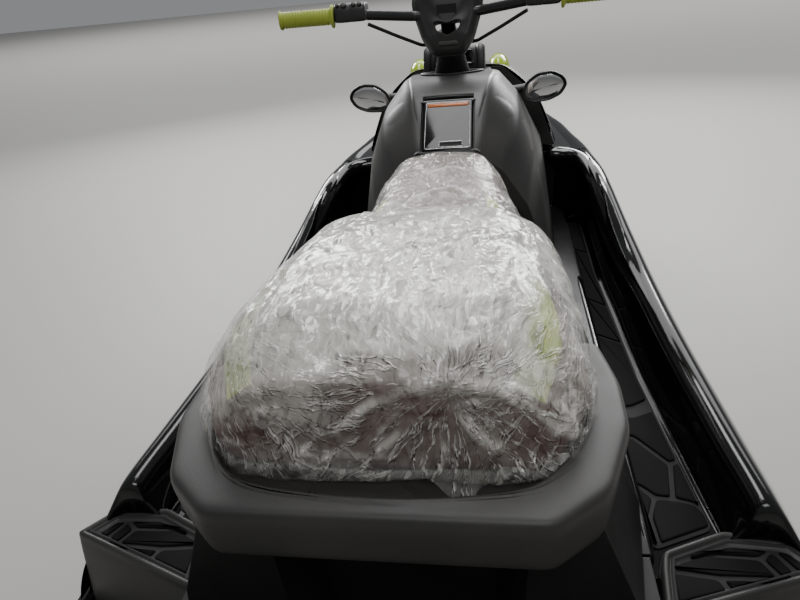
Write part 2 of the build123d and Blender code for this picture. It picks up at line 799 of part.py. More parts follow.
def pump_way():
    y0, y1 = PUMP_CONE_Y
    front = PUMP_FRONT_Y + 1
    end = SPOUT_END_Y - 1
    spout = [(y1, SPOUT_R), (end, SPOUT_R), (end, 0)]
    return turned([(front, 0), (front, PUMP_BORE_R), (y0, PUMP_BORE_R)] + spout)


def make_pump():
    """Housing with mounting flange, stator vanes, tail cone, nozzle, and the ears for nozzle and bucket."""
    body = pump_outer()
    body += rod_x(-TRUNNION_END, TRUNNION_END, TRUNNION_R, BUCKET_PIVOT_Y, PUMP_Z)
    for sign in (1, -1):
        tab_z = sorted(PUMP_Z + sign * z for z in TAB_Z)
        body += block(-EAR_HALF, EAR_HALF, NOZZLE_PIVOT_Y - EAR_HALF, PUMP_CONE_Y[0] - 2, *tab_z)
    body -= pump_way()
    body += rod_x(-TRUNNION_END - 15, -TRUNNION_END + 4, PIVOT_PIN_R, BUCKET_PIVOT_Y, PUMP_Z)
    body += rod_x(TRUNNION_END - 4, TRUNNION_END + 15, PIVOT_PIN_R, BUCKET_PIVOT_Y, PUMP_Z)
    for sign in (1, -1):
        pin_top = PUMP_Z + sign * (TAB_Z[0] + 2)
        body += rod_z(PUMP_Z + sign * (NOZZLE_FRONT_R - 2), pin_top, PIVOT_PIN_R, 0, NOZZLE_PIVOT_Y)
    hub_front = IMPELLER_Y[0] - 8
    cone = [(VANE_END_Y, HUB_R), (VANE_END_Y - 42, 10), (VANE_END_Y - TAIL_CONE, 0)]
    body += turned([(hub_front, 0), (hub_front, HUB_R)] + cone)
    for k in range(VANES):
        vane = block(-VANE_THICK / 2, VANE_THICK / 2, VANE_END_Y, hub_front - 4, HUB_R - 4, PUMP_BORE_R + 4)
        body += Pos(0, 0, PUMP_Z) * Rot(0, 360 / VANES * k, 0) * vane
    return body


def make_impeller():
    """Twisted blades on a hub, and the shaft that runs forward to the engine."""
    y0, y1 = IMPELLER_Y
    middle = (y0 + y1) / 2
    body = turned([(y0, 0), (y0, HUB_R), (y1 - 14, HUB_R), (y1, SHAFT_R + 2), (y1, 0)])
    faces = []
    for radius, chord, angle in BLADE:
        along = (math.sin(math.radians(angle)), math.cos(math.radians(angle)), 0)
        place = Plane(origin=(0, middle, radius), x_dir=along, z_dir=(0, 0, 1))
        faces.append(place * Rectangle(chord, BLADE_THICK))
    blade = loft(faces, ruled=True)
    for k in range(BLADES):
        body += Pos(0, 0, PUMP_Z) * Rot(0, 360 / BLADES * k, 0) * blade
    body &= rod_y(y0, y1, PUMP_BORE_R - BLADE_TIP_GAP)
    body += rod_y(y0, ENGINE_Y[0] - SEAM, SHAFT_R)
    return largest(body)


def make_nozzle():
    """Steering nozzle on two pins, with its steering arm."""
    front = NOZZLE_PIVOT_Y + NOZZLE_LAP
    wide = NOZZLE_FRONT_R + NOZZLE_WALL
    narrow = NOZZLE_END_R + NOZZLE_WALL
    body = turned(
        [(front, NOZZLE_FRONT_R), (front, wide), (NOZZLE_END_Y, narrow), (NOZZLE_END_Y, NOZZLE_END_R)]
    )
    for sign in (1, -1):
        boss = (PUMP_Z + sign * (NOZZLE_FRONT_R - 1), PUMP_Z + sign * (TAB_Z[0] - 1))
        body += rod_z(*boss, BOSS_R, 0, NOZZLE_PIVOT_Y)
    way = [(front + 1, NOZZLE_FRONT_R), (NOZZLE_END_Y, NOZZLE_END_R), (NOZZLE_END_Y, 0)]
    body -= turned([(front + 1, 0)] + way)
    body -= rod_z(PUMP_Z - TAB_Z[1], PUMP_Z + TAB_Z[1], PIVOT_PIN_R + RUN_FIT, 0, NOZZLE_PIVOT_Y)
    arm_y = (NOZZLE_END_Y + 22, NOZZLE_END_Y + 40)
    body += block(NOZZLE_END_R + 2, STEERING_ARM_X, *arm_y, PUMP_Z - 4, PUMP_Z + 4)
    return largest(body)


def sector(outer, inner, width):
    """Part ring about the bucket's pivot, from the angles of BUCKET_SPAN above straight aft."""
    first, last = [math.radians(a) for a in BUCKET_SPAN]
    middle = (first + last) / 2

    def at(radius, angle):
        return (0, BUCKET_PIVOT_Y - radius * math.cos(angle), PUMP_Z + radius * math.sin(angle))

    edges = [ThreePointArc(at(outer, first), at(outer, middle), at(outer, last))]
    if inner:
        edges.append(Line(at(outer, last), at(inner, last)))
        edges.append(ThreePointArc(at(inner, last), at(inner, middle), at(inner, first)))
        edges.append(Line(at(inner, first), at(outer, first)))
    else:
        edges.append(Line(at(outer, last), at(0, 0)))
        edges.append(Line(at(0, 0), at(outer, first)))
    return extrude(make_face(Wire(edges)), amount=width, dir=(1, 0, 0), both=True)


def make_bucket():
    """Reverse bucket: a curved scoop with two side plates on the trunnion pins."""
    outer = BUCKET_R + BUCKET_WALL
    body = sector(outer, BUCKET_R, BUCKET_HALF)
    eye = rod_x(-BUCKET_HALF, BUCKET_HALF, BUCKET_EYE_R, BUCKET_PIVOT_Y, PUMP_Z)
    plates = sector(outer, 0, BUCKET_HALF) + eye
    inside = BUCKET_HALF - BUCKET_WALL
    body += plates - block(-inside, inside, BEHIND_Y, 0, BELOW_Z, ABOVE_Z)
    body -= rod_x(-BUCKET_HALF - 5, BUCKET_HALF + 5, PIVOT_PIN_R + RUN_FIT, BUCKET_PIVOT_Y, PUMP_Z)
    return body


def make_grate(hull):
    """Bars across the intake, flush with the bottom."""
    rear, front = GRATE_Y
    bars = block(-GRATE_HALF, GRATE_HALF, rear, rear + GRATE_CROSS, INTAKE_LOW_Z, GRATE_TOP_Z)
    for x in (-GRATE_PITCH, 0, GRATE_PITCH):
        bars += block(x - 4, x + 4, rear, INTAKE_Y[0] - 20, INTAKE_LOW_Z, GRATE_TOP_Z)
    bars += block(-GRATE_HALF, GRATE_HALF, front - GRATE_CROSS, front, INTAKE_LOW_Z, GRATE_TOP_Z - 14)
    return largest((bars & hull_loft()) - hull)


def make_ride_plate():
    """Plate under the pump that carries on the bottom of the hull."""
    half = TUNNEL_HALF - SEAM
    space = block(-half, half, RIDE_PLATE_END_Y, PUMP_FRONT_Y - SEAM, BELOW_Z, PUMP_Z)
    bottom = hull_loft()
    return (bottom & space) - Pos(0, 0, RIDE_PLATE_THICK) * bottom


def make_sponsons(hull):
    sides = []
    for sign in (1, -1):
        faces = []
        for y, reach, low, high in SPONSON:
            top = [(reach, y, low + 10), (SPONSON_ROOT + 30, y, high)]
            outline = [(SPONSON_ROOT, y, low), (reach, y, low)] + top
            faces.append(make_face(Polyline(*outline, close=True)))
        sides.append(on_side(largest(loft(faces, ruled=True) - hull), sign))
    return Compound(children=sides)


def make_tow_eyes(hull):
    eyes = []
    for place in TOW_EYES:
        eyes.append(largest(Pos(*place) * Rot(0, 90, 0) * Torus(TOW_EYE_R, TOW_WIRE_R) - hull))
    return Compound(children=eyes)


def make_film(pedestal):
    """Loose clear film over the whole saddle, open at the bottom."""
    bases = ((DRIVER_SEAT, driver_base), (PASSENGER_SEAT, passenger_base))
    outer = [loft(seat_faces(table, base, FILM_GAP + FILM_THICK)) for table, base in bases]
    film = outer[0] + outer[1]
    for table, base in bases:
        faces = seat_faces(table, lambda y: base(y) - 30, FILM_GAP)
        film -= loft(faces)
    y = DRIVER_SEAT[-1][0]
    low, side, side_z, top, top_z = [v for v in DRIVER_SEAT[-1][1:]]
    joint = [(0, 400), (low, 400), (side, side_z), (top, top_z), (0, top_z)]
    film -= loft([station(y + 4, joint), station(y - 12, joint)], ruled=True)
    return largest(film - pedestal)


def build():
    hull = make_hull()
    deck = make_deck()
    rail = make_rub_rail(hull, deck)
    arms = mirror_arm(1, MIRROR_ARM_R + SEAM) + mirror_arm(-1, MIRROR_ARM_R + SEAM)
    console = make_console(arms)
    column = make_column()
    pad = make_pad(column)
    pedestal = make_pedestal()
    save("hull", hull)
    save("deck", deck)
    save("engine", make_engine())
    save("rub_rail", rail)
    save("bow_bumper", make_bow_bumper(hull, deck, rail))
    save("sponsons", make_sponsons(hull))
    save("tow_eyes", make_tow_eyes(hull))
    save("intake_grate", make_grate(hull))
    save("ride_plate", make_ride_plate())
    save("platform", make_platform())
    save("platform_mat", make_platform_mat())
    save("seat_pedestal", pedestal)
    save("grab_handle", make_tail())
    save("driver_seat", make_driver_seat())
    save("passenger_seat", make_passenger_seat())
    save("seat_wrap", make_film(pedestal))
    save("console", console)
    save("glovebox_lid", make_lid())
    save("instrument_pod", make_pod(console))
    save("hood", make_hood())
    save("hood_hinge", make_hood_hinge())
    save("steering_column", column)
    save("handlebar", bar_tube(BAR_R))
    save("bar_pad", pad)
    save("pump_housing", make_pump())
    save("impeller", make_impeller())
    save("steering_nozzle", make_nozzle())
    save("reverse_bucket", make_bucket())
    for sign in (1, -1):
        side = side_name(sign)
        switch = make_switch(sign)
        save(f"stern_corner_{side}", make_stern_corner(sign))
        save(f"stern_mat_{side}", make_stern_mat(sign))
        save(f"footwell_mat_{side}", make_footwell_mat(sign))
        save(f"mirror_{side}", make_mirror(sign))
        save(f"mirror_glass_{side}", make_mirror_glass(sign))
        save(f"grip_{side}", make_grip(sign))
        save(f"switch_{side}", switch)
        save(f"control_cable_{side}", make_cable(sign, on_side(switch, sign) + pad + column))


build()
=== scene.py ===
# %% [markdown]
# # A personal watercraft on a showroom floor
# The hard shapes of this craft come ready from its CAD frame: hull, deck, console, pump and
# handlebar. This notebook dresses them. It gives each surface the finish of the real one, and
# builds in mesh what CAD does badly: the vinyl saddle, the loose clear film over it, the
# grooved traction mats and the moulded covers. All sizes are in metres.

import bpy
import bmesh
import json
import math
import random
from mathutils import Matrix, Vector, noise


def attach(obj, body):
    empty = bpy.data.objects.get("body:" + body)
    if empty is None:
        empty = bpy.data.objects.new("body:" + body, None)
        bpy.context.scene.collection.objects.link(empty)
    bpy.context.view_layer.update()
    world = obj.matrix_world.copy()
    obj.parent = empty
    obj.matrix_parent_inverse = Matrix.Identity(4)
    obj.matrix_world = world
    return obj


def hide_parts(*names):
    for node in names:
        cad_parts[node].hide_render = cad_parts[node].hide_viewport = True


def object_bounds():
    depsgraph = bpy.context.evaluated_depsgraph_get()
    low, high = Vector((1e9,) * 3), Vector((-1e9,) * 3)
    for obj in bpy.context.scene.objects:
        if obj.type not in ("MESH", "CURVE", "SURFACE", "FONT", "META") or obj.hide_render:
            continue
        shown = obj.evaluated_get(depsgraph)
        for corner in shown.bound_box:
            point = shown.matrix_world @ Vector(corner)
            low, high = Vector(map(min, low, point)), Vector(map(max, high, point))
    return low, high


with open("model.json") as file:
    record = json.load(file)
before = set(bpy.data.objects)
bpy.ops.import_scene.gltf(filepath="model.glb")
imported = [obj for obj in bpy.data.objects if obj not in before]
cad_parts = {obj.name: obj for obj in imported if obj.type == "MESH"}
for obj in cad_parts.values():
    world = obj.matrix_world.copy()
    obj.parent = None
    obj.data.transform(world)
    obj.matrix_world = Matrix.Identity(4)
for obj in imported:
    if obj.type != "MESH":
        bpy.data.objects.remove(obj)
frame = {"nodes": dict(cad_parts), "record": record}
cad_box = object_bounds()
print("CAD box", [[round(v, 3) for v in corner] for corner in cad_box])

# %% [markdown]
# ## Camera
# The picture was taken from behind the stern at head height, looking down along the saddle. The
# camera is set from three angles and one focal length, and its three axes are worked out in
# full, because a small roll is easy to lose when an aim point is used instead.

# %% Camera
CAMERA_AT = Vector((0.1152, -1.4971, 0.9373))
CAMERA_YAW, CAMERA_PITCH, CAMERA_ROLL = 0.1853, 0.4873, -0.1036
FOCAL_PX, IMAGE_WIDTH, SENSOR = 626.85, 800, 36.0


def aim_camera():
    ahead = Vector((
        -math.sin(CAMERA_YAW) * math.cos(CAMERA_PITCH),
        math.cos(CAMERA_YAW) * math.cos(CAMERA_PITCH),
        -math.sin(CAMERA_PITCH),
    ))
    level = Vector((math.cos(CAMERA_YAW), math.sin(CAMERA_YAW), 0))
    up = level.cross(ahead)
    right = math.cos(CAMERA_ROLL) * level + math.sin(CAMERA_ROLL) * up
    top = -math.sin(CAMERA_ROLL) * level + math.cos(CAMERA_ROLL) * up
    data = bpy.data.cameras.new("camera")
    data.sensor_width = SENSOR
    data.lens = FOCAL_PX * SENSOR / IMAGE_WIDTH
    data.clip_start = 0.02
    camera = bpy.data.objects.new("camera", data)
    bpy.context.scene.collection.objects.link(camera)
    camera.matrix_world = Matrix.Translation(CAMERA_AT) @ Matrix((right, top, -ahead)).transposed().to_4x4()
    bpy.context.scene.camera = camera
    return camera


camera = aim_camera()
print("lens", round(camera.data.lens, 2), "mm")

# %% [markdown]
# ## Floor and light
# A gloss black hull shows its shape only by what it mirrors. Long soft boxes overhead draw the
# bright lines along the side decks, a broad one lights the mats, and the pale floor fills from
# below. The floor lies just under the keel, so the whole hull shows.

# %% Floor and light
FLOOR_GAP = 0.004
SOFTBOXES = [
    # name, place, aim, width, length, watts
    ("window_left", (-2.40, 4.0, 2.30), (0.0, 0.0, 0.4), 1.7, 1.1, 120),
    ("window_right", (1.75, 4.3, 2.35), (0.0, 0.0, 0.4), 1.9, 1.1, 140),
    ("overhead", (0.0, 0.9, 3.4), (0.0, 0.0, 0.4), 0.9, 2.6, 70),
    ("rear_fill", (0.5, -2.7, 3.5), (0.0, -0.95, 0.5), 2.0, 1.0, 45),
    ("far_floor", (0.0, 15.0, 9.0), (0.0, 15.2, 0.0), 30.0, 12.0, 3200),
]


def plain_floor():
    bpy.ops.mesh.primitive_plane_add(size=60, location=(0, 0, cad_box[0][2] - FLOOR_GAP))
    floor = bpy.context.object
    floor.name = "floor"
    material = bpy.data.materials.new("floor_pale")
    material.use_nodes = True
    shader = material.node_tree.nodes["Principled BSDF"]
    shader.inputs["Base Color"].default_value = (0.40, 0.39, 0.37, 1)
    shader.inputs["Roughness"].default_value = 0.55
    floor.data.materials.append(material)
    return floor


def softbox(name, place, aim, width, length, watts):
    data = bpy.data.lights.new(name, "AREA")
    data.shape = "RECTANGLE"
    data.size, data.size_y = width, length
    data.energy = watts
    lamp = bpy.data.objects.new(name, data)
    bpy.context.scene.collection.objects.link(lamp)
    lamp.location = place
    lamp.rotation_euler = (Vector(aim) - Vector(place)).to_track_quat("-Z", "Y").to_euler()
    return lamp


floor = plain_floor()
for row in SOFTBOXES:
    softbox(*row)
world = bpy.data.worlds.new("studio")
bpy.context.scene.world = world
world.use_nodes = True
world.node_tree.nodes["Background"].inputs["Color"].default_value = (0.80, 0.82, 0.85, 1)
world.node_tree.nodes["Background"].inputs["Strength"].default_value = 0.30
print(len(SOFTBOXES), "soft boxes")

# %% [markdown]
# ## Effects shared by the finishes
# Moulded plastic, rubber, vinyl and cast metal differ in number, not in kind: each has a grain, a
# slow change of tone, and edges that catch the light. Each effect is one node group with named
# inputs, built once and placed in each material with its own values.

# %% Node group helpers
def new_group(name, inputs, outputs):
    group = bpy.data.node_groups.new(name, "ShaderNodeTree")
    for label, kind, value in inputs:
        socket = group.interface.new_socket(name=label, in_out="INPUT", socket_type=kind)
        socket.default_value = value
    for label, kind in outputs:
        group.interface.new_socket(name=label, in_out="OUTPUT", socket_type=kind)
    start = group.nodes.new("NodeGroupInput")
    end = group.nodes.new("NodeGroupOutput")
    return group, start, end


def add(tree, kind, **settings):
    """A new node, with its settings and the values of its plain sockets."""
    node = tree.nodes.new(kind)
    for key, value in settings.items():
        if hasattr(node, key):
            setattr(node, key, value)
        else:
            node.inputs[key.replace("_", " ")].default_value = value
    return node


def join(tree, source, target):
    tree.links.new(source, target)


FLOAT, COLOUR, VECTOR = "NodeSocketFloat", "NodeSocketColor", "NodeSocketVector"

# %% Grain, mottle and edge groups
def build_grain():
    """Fine pebble of moulded plastic or vinyl: a height from small cells and softer noise."""
    group, start, end = new_group(
        "Grain", [("Scale", FLOAT, 900.0), ("Pebble", FLOAT, 0.6)], [("Height", FLOAT)]
    )
    place = add(group, "ShaderNodeTexCoord")
    cells = add(group, "ShaderNodeTexVoronoi", feature="SMOOTH_F1")
    soft = add(group, "ShaderNodeTexNoise", Detail=3.0)
    mix = add(group, "ShaderNodeMix", data_type="FLOAT")
    for texture in (cells, soft):
        join(group, place.outputs["Object"], texture.inputs["Vector"])
        join(group, start.outputs["Scale"], texture.inputs["Scale"])
    join(group, start.outputs["Pebble"], mix.inputs[0])
    join(group, soft.outputs[0], mix.inputs[2])
    join(group, cells.outputs["Distance"], mix.inputs[3])
    join(group, mix.outputs[0], end.inputs["Height"])
    return group


def build_mottle():
    """Slow change between two tones, for batch colour, dust and handling marks."""
    group, start, end = new_group(
        "Mottle",
        [("Scale", FLOAT, 6.0), ("First", COLOUR, (0, 0, 0, 1)), ("Second", COLOUR, (1, 1, 1, 1))],
        [("Color", COLOUR), ("Mask", FLOAT)],
    )
    place = add(group, "ShaderNodeTexCoord")
    cloud = add(group, "ShaderNodeTexNoise", Detail=6.0, Roughness=0.62)
    curve = add(group, "ShaderNodeMapRange", From_Min=0.35, From_Max=0.68)
    mix = add(group, "ShaderNodeMix", data_type="RGBA")
    join(group, place.outputs["Object"], cloud.inputs["Vector"])
    join(group, start.outputs["Scale"], cloud.inputs["Scale"])
    join(group, cloud.outputs[0], curve.inputs["Value"])
    join(group, curve.outputs[0], mix.inputs[0])
    join(group, start.outputs["First"], mix.inputs[6])
    join(group, start.outputs["Second"], mix.inputs[7])
    join(group, mix.outputs[2], end.inputs["Color"])
    join(group, curve.outputs[0], end.inputs["Mask"])
    return group


def build_edges():
    """Soft edges of a moulding: a rounded normal, and a mask where it leaves the flat one."""
    group, start, end = new_group("Edges", [("Radius", FLOAT, 0.002)], [("Normal", VECTOR), ("Mask", FLOAT)])
    round_edge = add(group, "ShaderNodeBevel", samples=4)
    shape = add(group, "ShaderNodeNewGeometry")
    dot = add(group, "ShaderNodeVectorMath", operation="DOT_PRODUCT")
    curve = add(group, "ShaderNodeMapRange", From_Min=0.995, From_Max=0.80)
    join(group, start.outputs["Radius"], round_edge.inputs["Radius"])
    join(group, round_edge.outputs[0], dot.inputs[0])
    join(group, shape.outputs["Normal"], dot.inputs[1])
    join(group, dot.outputs["Value"], curve.inputs["Value"])
    join(group, round_edge.outputs[0], end.inputs["Normal"])
    join(group, curve.outputs[0], end.inputs["Mask"])
    return group


GRAIN, MOTTLE, EDGES = build_grain(), build_mottle(), build_edges()
print("groups", [g.name for g in (GRAIN, MOTTLE, EDGES)])

# %% [markdown]
# ## Finishes
# Most surfaces are one recipe with other numbers: two close tones, a pebble height, a roughness
# that wanders a little, and edges a shade lighter where hands and feet rub them.

# %% One recipe for moulded finishes
def tone(level, warm=0.0):
    return (level * (1 + warm), level, level * (1 - warm), 1)


def group_node(tree, group, **values):
    node = tree.nodes.new("ShaderNodeGroup")
    node.node_tree = group
    for label, value in values.items():
        node.inputs[label].default_value = value
    return node


def moulded(name, dark, light, rough, grain=(900.0, 0.6, 0.12), edge=(0.002, 0.25), metal=0.0, coat=0.0, mottle=7.0, shine=0.5):
    """Finish from two tones, a roughness pair, (scale, pebble, strength) of grain and (radius, lightening) of edges."""
    material = bpy.data.materials.new(name)
    material.use_nodes = True
    tree = material.node_tree
    shader = tree.nodes["Principled BSDF"]
    clouds = group_node(tree, MOTTLE, Scale=mottle, First=dark, Second=light)
    pebble = group_node(tree, GRAIN, Scale=grain[0], Pebble=grain[1])
    edges = group_node(tree, EDGES, Radius=edge[0])
    wear = add(tree, "ShaderNodeMath", operation="MULTIPLY")
    wear.inputs[1].default_value = edge[1]
    lighten = add(tree, "ShaderNodeMix", data_type="RGBA")
    lighten.inputs[7].default_value = tuple(min(1.0, v * 2.6 + 0.03) for v in light[:3]) + (1,)
    polish = add(tree, "ShaderNodeMapRange", To_Min=rough[0], To_Max=rough[1])
    bump = add(tree, "ShaderNodeBump", Strength=grain[2], Distance=0.0006)
    join(tree, edges.outputs["Mask"], wear.inputs[0])
    join(tree, wear.outputs[0], lighten.inputs[0])
    join(tree, clouds.outputs["Color"], lighten.inputs[6])
    join(tree, lighten.outputs[2], shader.inputs["Base Color"])
    join(tree, clouds.outputs["Mask"], polish.inputs["Value"])
    join(tree, polish.outputs[0], shader.inputs["Roughness"])
    join(tree, pebble.outputs["Height"], bump.inputs["Height"])
    join(tree, edges.outputs["Normal"], bump.inputs["Normal"])
    join(tree, bump.outputs[0], shader.inputs["Normal"])
    shader.inputs["Metallic"].default_value = metal
    shader.inputs["Specular IOR Level"].default_value = shine
    shader.inputs["Coat Weight"].default_value = coat
    shader.inputs["Coat Roughness"].default_value = 0.03
    return material


FINISH = {
    "gelcoat_black": moulded(
        "gelcoat_black", tone(0.003), tone(0.0045), (0.03, 0.07), (60.0, 0.0, 0.02), (0.004, 0.02)
    ),
    "plastic_grey": moulded(
        "plastic_grey", tone(0.028, 0.04), tone(0.038, 0.06), (0.40, 0.52), (1100.0, 0.7, 0.22), (0.003, 0.12), shine=0.38
    ),
    "plastic_black": moulded(
        "plastic_black", tone(0.020), tone(0.027), (0.36, 0.48), (1100.0, 0.7, 0.2), (0.0015, 0.12), shine=0.38
    ),
    "plastic_gloss": moulded(
        "plastic_gloss", tone(0.006), tone(0.009), (0.08, 0.16), (70.0, 0.0, 0.02), (0.001, 0.05)
    ),
    "rubber_black": moulded(
        "rubber_black", tone(0.008), tone(0.014), (0.55, 0.7), (700.0, 0.4, 0.2), (0.001, 0.08), shine=0.3
    ),
    "rubber_lime": moulded(
        "rubber_lime", (0.30, 0.36, 0.04, 1), (0.38, 0.45, 0.06, 1), (0.5, 0.62), (800.0, 0.4, 0.15), shine=0.35
    ),
    "mat_black": moulded(
        "mat_black", tone(0.0045), tone(0.0085), (0.75, 0.9), (1500.0, 0.3, 0.6), (0.0015, 0.10), shine=0.12
    ),
    "vinyl_dark": moulded(
        "vinyl_dark", (0.072, 0.018, 0.014, 1), (0.100, 0.032, 0.026, 1), (0.38, 0.5), (520.0, 0.8, 0.3), shine=0.4
    ),
    "aluminium_cast": moulded(
        "aluminium_cast", tone(0.16), tone(0.22), (0.42, 0.6), (420.0, 0.5, 0.4), (0.0015, 0.4), 0.6
    ),
    "stainless": moulded("stainless", tone(0.52), tone(0.60), (0.2, 0.34), (300.0, 0.1, 0.06), (0.001, 0.2), 1.0),
    "steel_black": moulded("steel_black", tone(0.010), tone(0.015), (0.3, 0.42), (900.0, 0.4, 0.08), (0.001, 0.2)),
    "mirror_glass": moulded("mirror_glass", tone(0.78), tone(0.82), (0.02, 0.04), (20.0, 0.0, 0.0), (0.0005, 0.0), 1.0),
    "engine_grey": moulded("engine_grey", tone(0.14), tone(0.2), (0.5, 0.7), (400.0, 0.5, 0.3), (0.002, 0.3), 0.5),
}
print(len(FINISH), "finishes")

FINISH["pedestal_satin"] = moulded(
    "pedestal_satin", tone(0.006), tone(0.009), (0.34, 0.46), (900.0, 0.5, 0.15), (0.002, 0.10), shine=0.3
)

# %% Put the finishes on the frame
PLINTH_TOP = 0.262
slots = {entry["node"]: entry["material_slot"] for entry in frame["record"]["subparts"]}
for node, piece in frame["nodes"].items():
    finish = FINISH["pedestal_satin"] if node == "seat_pedestal" else FINISH.get(slots[node])
    if finish:
        piece.data.materials.clear()
        piece.data.materials.append(finish)
plinth = frame["nodes"]["deck"]
plinth.data.materials.append(FINISH["pedestal_satin"])
for face in plinth.data.polygons:
    if abs(face.normal.z) > 0.9 and abs(face.center.z - PLINTH_TOP) < 0.004:
        face.material_index = 1

# %% [markdown]
# ## Saddle
# The real saddle is foam under dark vinyl, in two steps, with a lime stripe on each shoulder. A
# cage of a few cross sections is enough: subdivision rounds it as foam rounds a cover, and
# closely spaced end sections keep the ends full.

# %% Mesh helpers
def mesh_piece(name, points, faces, slot, body="craft", level=0):
    """A smooth mesh piece that rides on a body and takes its finish from a slot."""
    mesh = bpy.data.meshes.new(name)
    mesh.from_pydata([tuple(p) for p in points], [], faces)
    mesh.materials.append(FINISH[slot])
    bm = bmesh.new()
    bm.from_mesh(mesh)
    bmesh.ops.recalc_face_normals(bm, faces=bm.faces)
    bm.to_mesh(mesh)
    bm.free()
    mesh.polygons.foreach_set("use_smooth", [True] * len(mesh.polygons))
    piece = bpy.data.objects.new(name, mesh)
    bpy.context.scene.collection.objects.link(piece)
    if level:
        modifier = piece.modifiers.new("smooth", "SUBSURF")
        modifier.levels = modifier.render_levels = level
    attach(piece, body)
    return piece


def skin(rings, closed=True, caps=True):
    """Points and quads between rings of equal length, with a flat face on each end."""
    count = len(rings[0])
    points = [p for ring in rings for p in ring]
    faces = []
    for r in range(len(rings) - 1):
        for k in range(count if closed else count - 1):
            a, b = r * count + k, r * count + (k + 1) % count
            faces.append((a, b, b + count, a + count))
    if caps:
        faces.append(tuple(reversed(range(count))))
        last = (len(rings) - 1) * count
        faces.append(tuple(range(last, last + count)))
    return points, faces


def smooth_rows(table, places):
    """Rows of a station table at any places along it, on a monotone curve through its rows."""
    table = sorted(table)
    at = [row[0] for row in table]
    result = []
    for y in places:
        y = min(max(y, at[0]), at[-1])
        k = max(i for i in range(len(at) - 1) if at[i] <= y + 1e-9)
        t = (y - at[k]) / (at[k + 1] - at[k])
        row = [y]
        for c in range(1, len(table[0])):
            v = [table[min(max(i, 0), len(table) - 1)][c] for i in (k - 1, k, k + 1, k + 2)]
            m0, m1 = (v[2] - v[0]) / 2, (v[3] - v[1]) / 2
            if (v[1] - v[0]) * (v[2] - v[1]) <= 0:
                m0 = 0
            if (v[2] - v[1]) * (v[3] - v[2]) <= 0:
                m1 = 0
            row.append(
                (2 * t**3 - 3 * t**2 + 1) * v[1] + (t**3 - 2 * t**2 + t) * m0
                + (3 * t**2 - 2 * t**3) * v[2] + (t**3 - t**2) * m1
            )
        result.append(row)
    return result


def evaluated(piece):
    """Points and faces of a piece with its modifiers applied."""
    shape = piece.evaluated_get(bpy.context.evaluated_depsgraph_get())
    mesh = shape.to_mesh()
    points = [v.co.copy() for v in mesh.vertices]
    faces = [tuple(f.vertices) for f in mesh.polygons]
    shape.to_mesh_clear()
    return points, faces


# %% Two vinyl pads
# y, lower half width, side half width, side z, top half width, top z
DRIVER_PAD = [
    (-0.184, 0.070, 0.082, 0.520, 0.050, 0.562),
    (-0.260, 0.098, 0.108, 0.525, 0.078, 0.592),
    (-0.420, 0.124, 0.128, 0.515, 0.088, 0.576),
    (-0.540, 0.134, 0.137, 0.512, 0.092, 0.570),
    (-0.640, 0.148, 0.154, 0.522, 0.100, 0.586),
]
PASSENGER_PAD = [
    (-0.652, 0.130, 0.146, 0.556, 0.090, 0.604),
    (-0.700, 0.148, 0.164, 0.565, 0.100, 0.638),
    (-0.780, 0.170, 0.176, 0.570, 0.112, 0.645),
    (-0.860, 0.184, 0.187, 0.572, 0.126, 0.646),
    (-0.980, 0.192, 0.199, 0.572, 0.138, 0.637),
    (-1.048, 0.160, 0.170, 0.565, 0.122, 0.604),
]
PEDESTAL_TOP = [(-0.640, 0.464), (-0.1653, 0.446)]
TRAY_Z = 0.506
PAD_STEPS = 14


def pad_ring(row, base):
    y, low, side, side_z, top, top_z = row
    half = [
        (0.0, base), (low * 0.75, base), (low, base + 0.004), (side, (base + side_z) / 2), (side + 0.002, side_z),
        (side * 0.5 + top * 0.5 + 0.004, top_z - 0.024), (top * 0.98, top_z - 0.002), (top * 0.8, top_z + 0.004),
        (top * 0.4, top_z + 0.007),
        (0.0, top_z + 0.008),
    ]
    return [(x, y, z) for x, z in half] + [(-x, y, z) for x, z in reversed(half[1:-1])]


def vinyl_pad(name, table, base_of):
    first, last = min(r[0] for r in table), max(r[0] for r in table)
    places = [first + (last - first) * k / (PAD_STEPS - 1) for k in range(PAD_STEPS)]
    places = places[:1] + [first + 0.006] + places[1:-1] + [last - 0.006] + places[-1:]
    rings = [pad_ring(row, base_of(row[0])) for row in smooth_rows(table, places)]
    points, faces = skin(rings)
    piece = mesh_piece(name, points, faces, "vinyl_dark", level=2)
    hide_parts(name.replace("_pad", "_seat"))
    return piece


def driver_base(y):
    share = (y - PEDESTAL_TOP[0][0]) / (PEDESTAL_TOP[1][0] - PEDESTAL_TOP[0][0])
    return PEDESTAL_TOP[0][1] + share * (PEDESTAL_TOP[1][1] - PEDESTAL_TOP[0][1])


driver_pad = vinyl_pad("driver_pad", DRIVER_PAD, driver_base)
passenger_pad = vinyl_pad("passenger_pad", PASSENGER_PAD, lambda y: TRAY_Z)
print("pads", [len(p.data.polygons) for p in (driver_pad, passenger_pad)], "cage faces")

# %% [markdown]
# ### Lime stripe
# The cover has a lime panel let into each shoulder. It is one more colour of the same vinyl, so
# the faces of that band of the pad get a second finish.

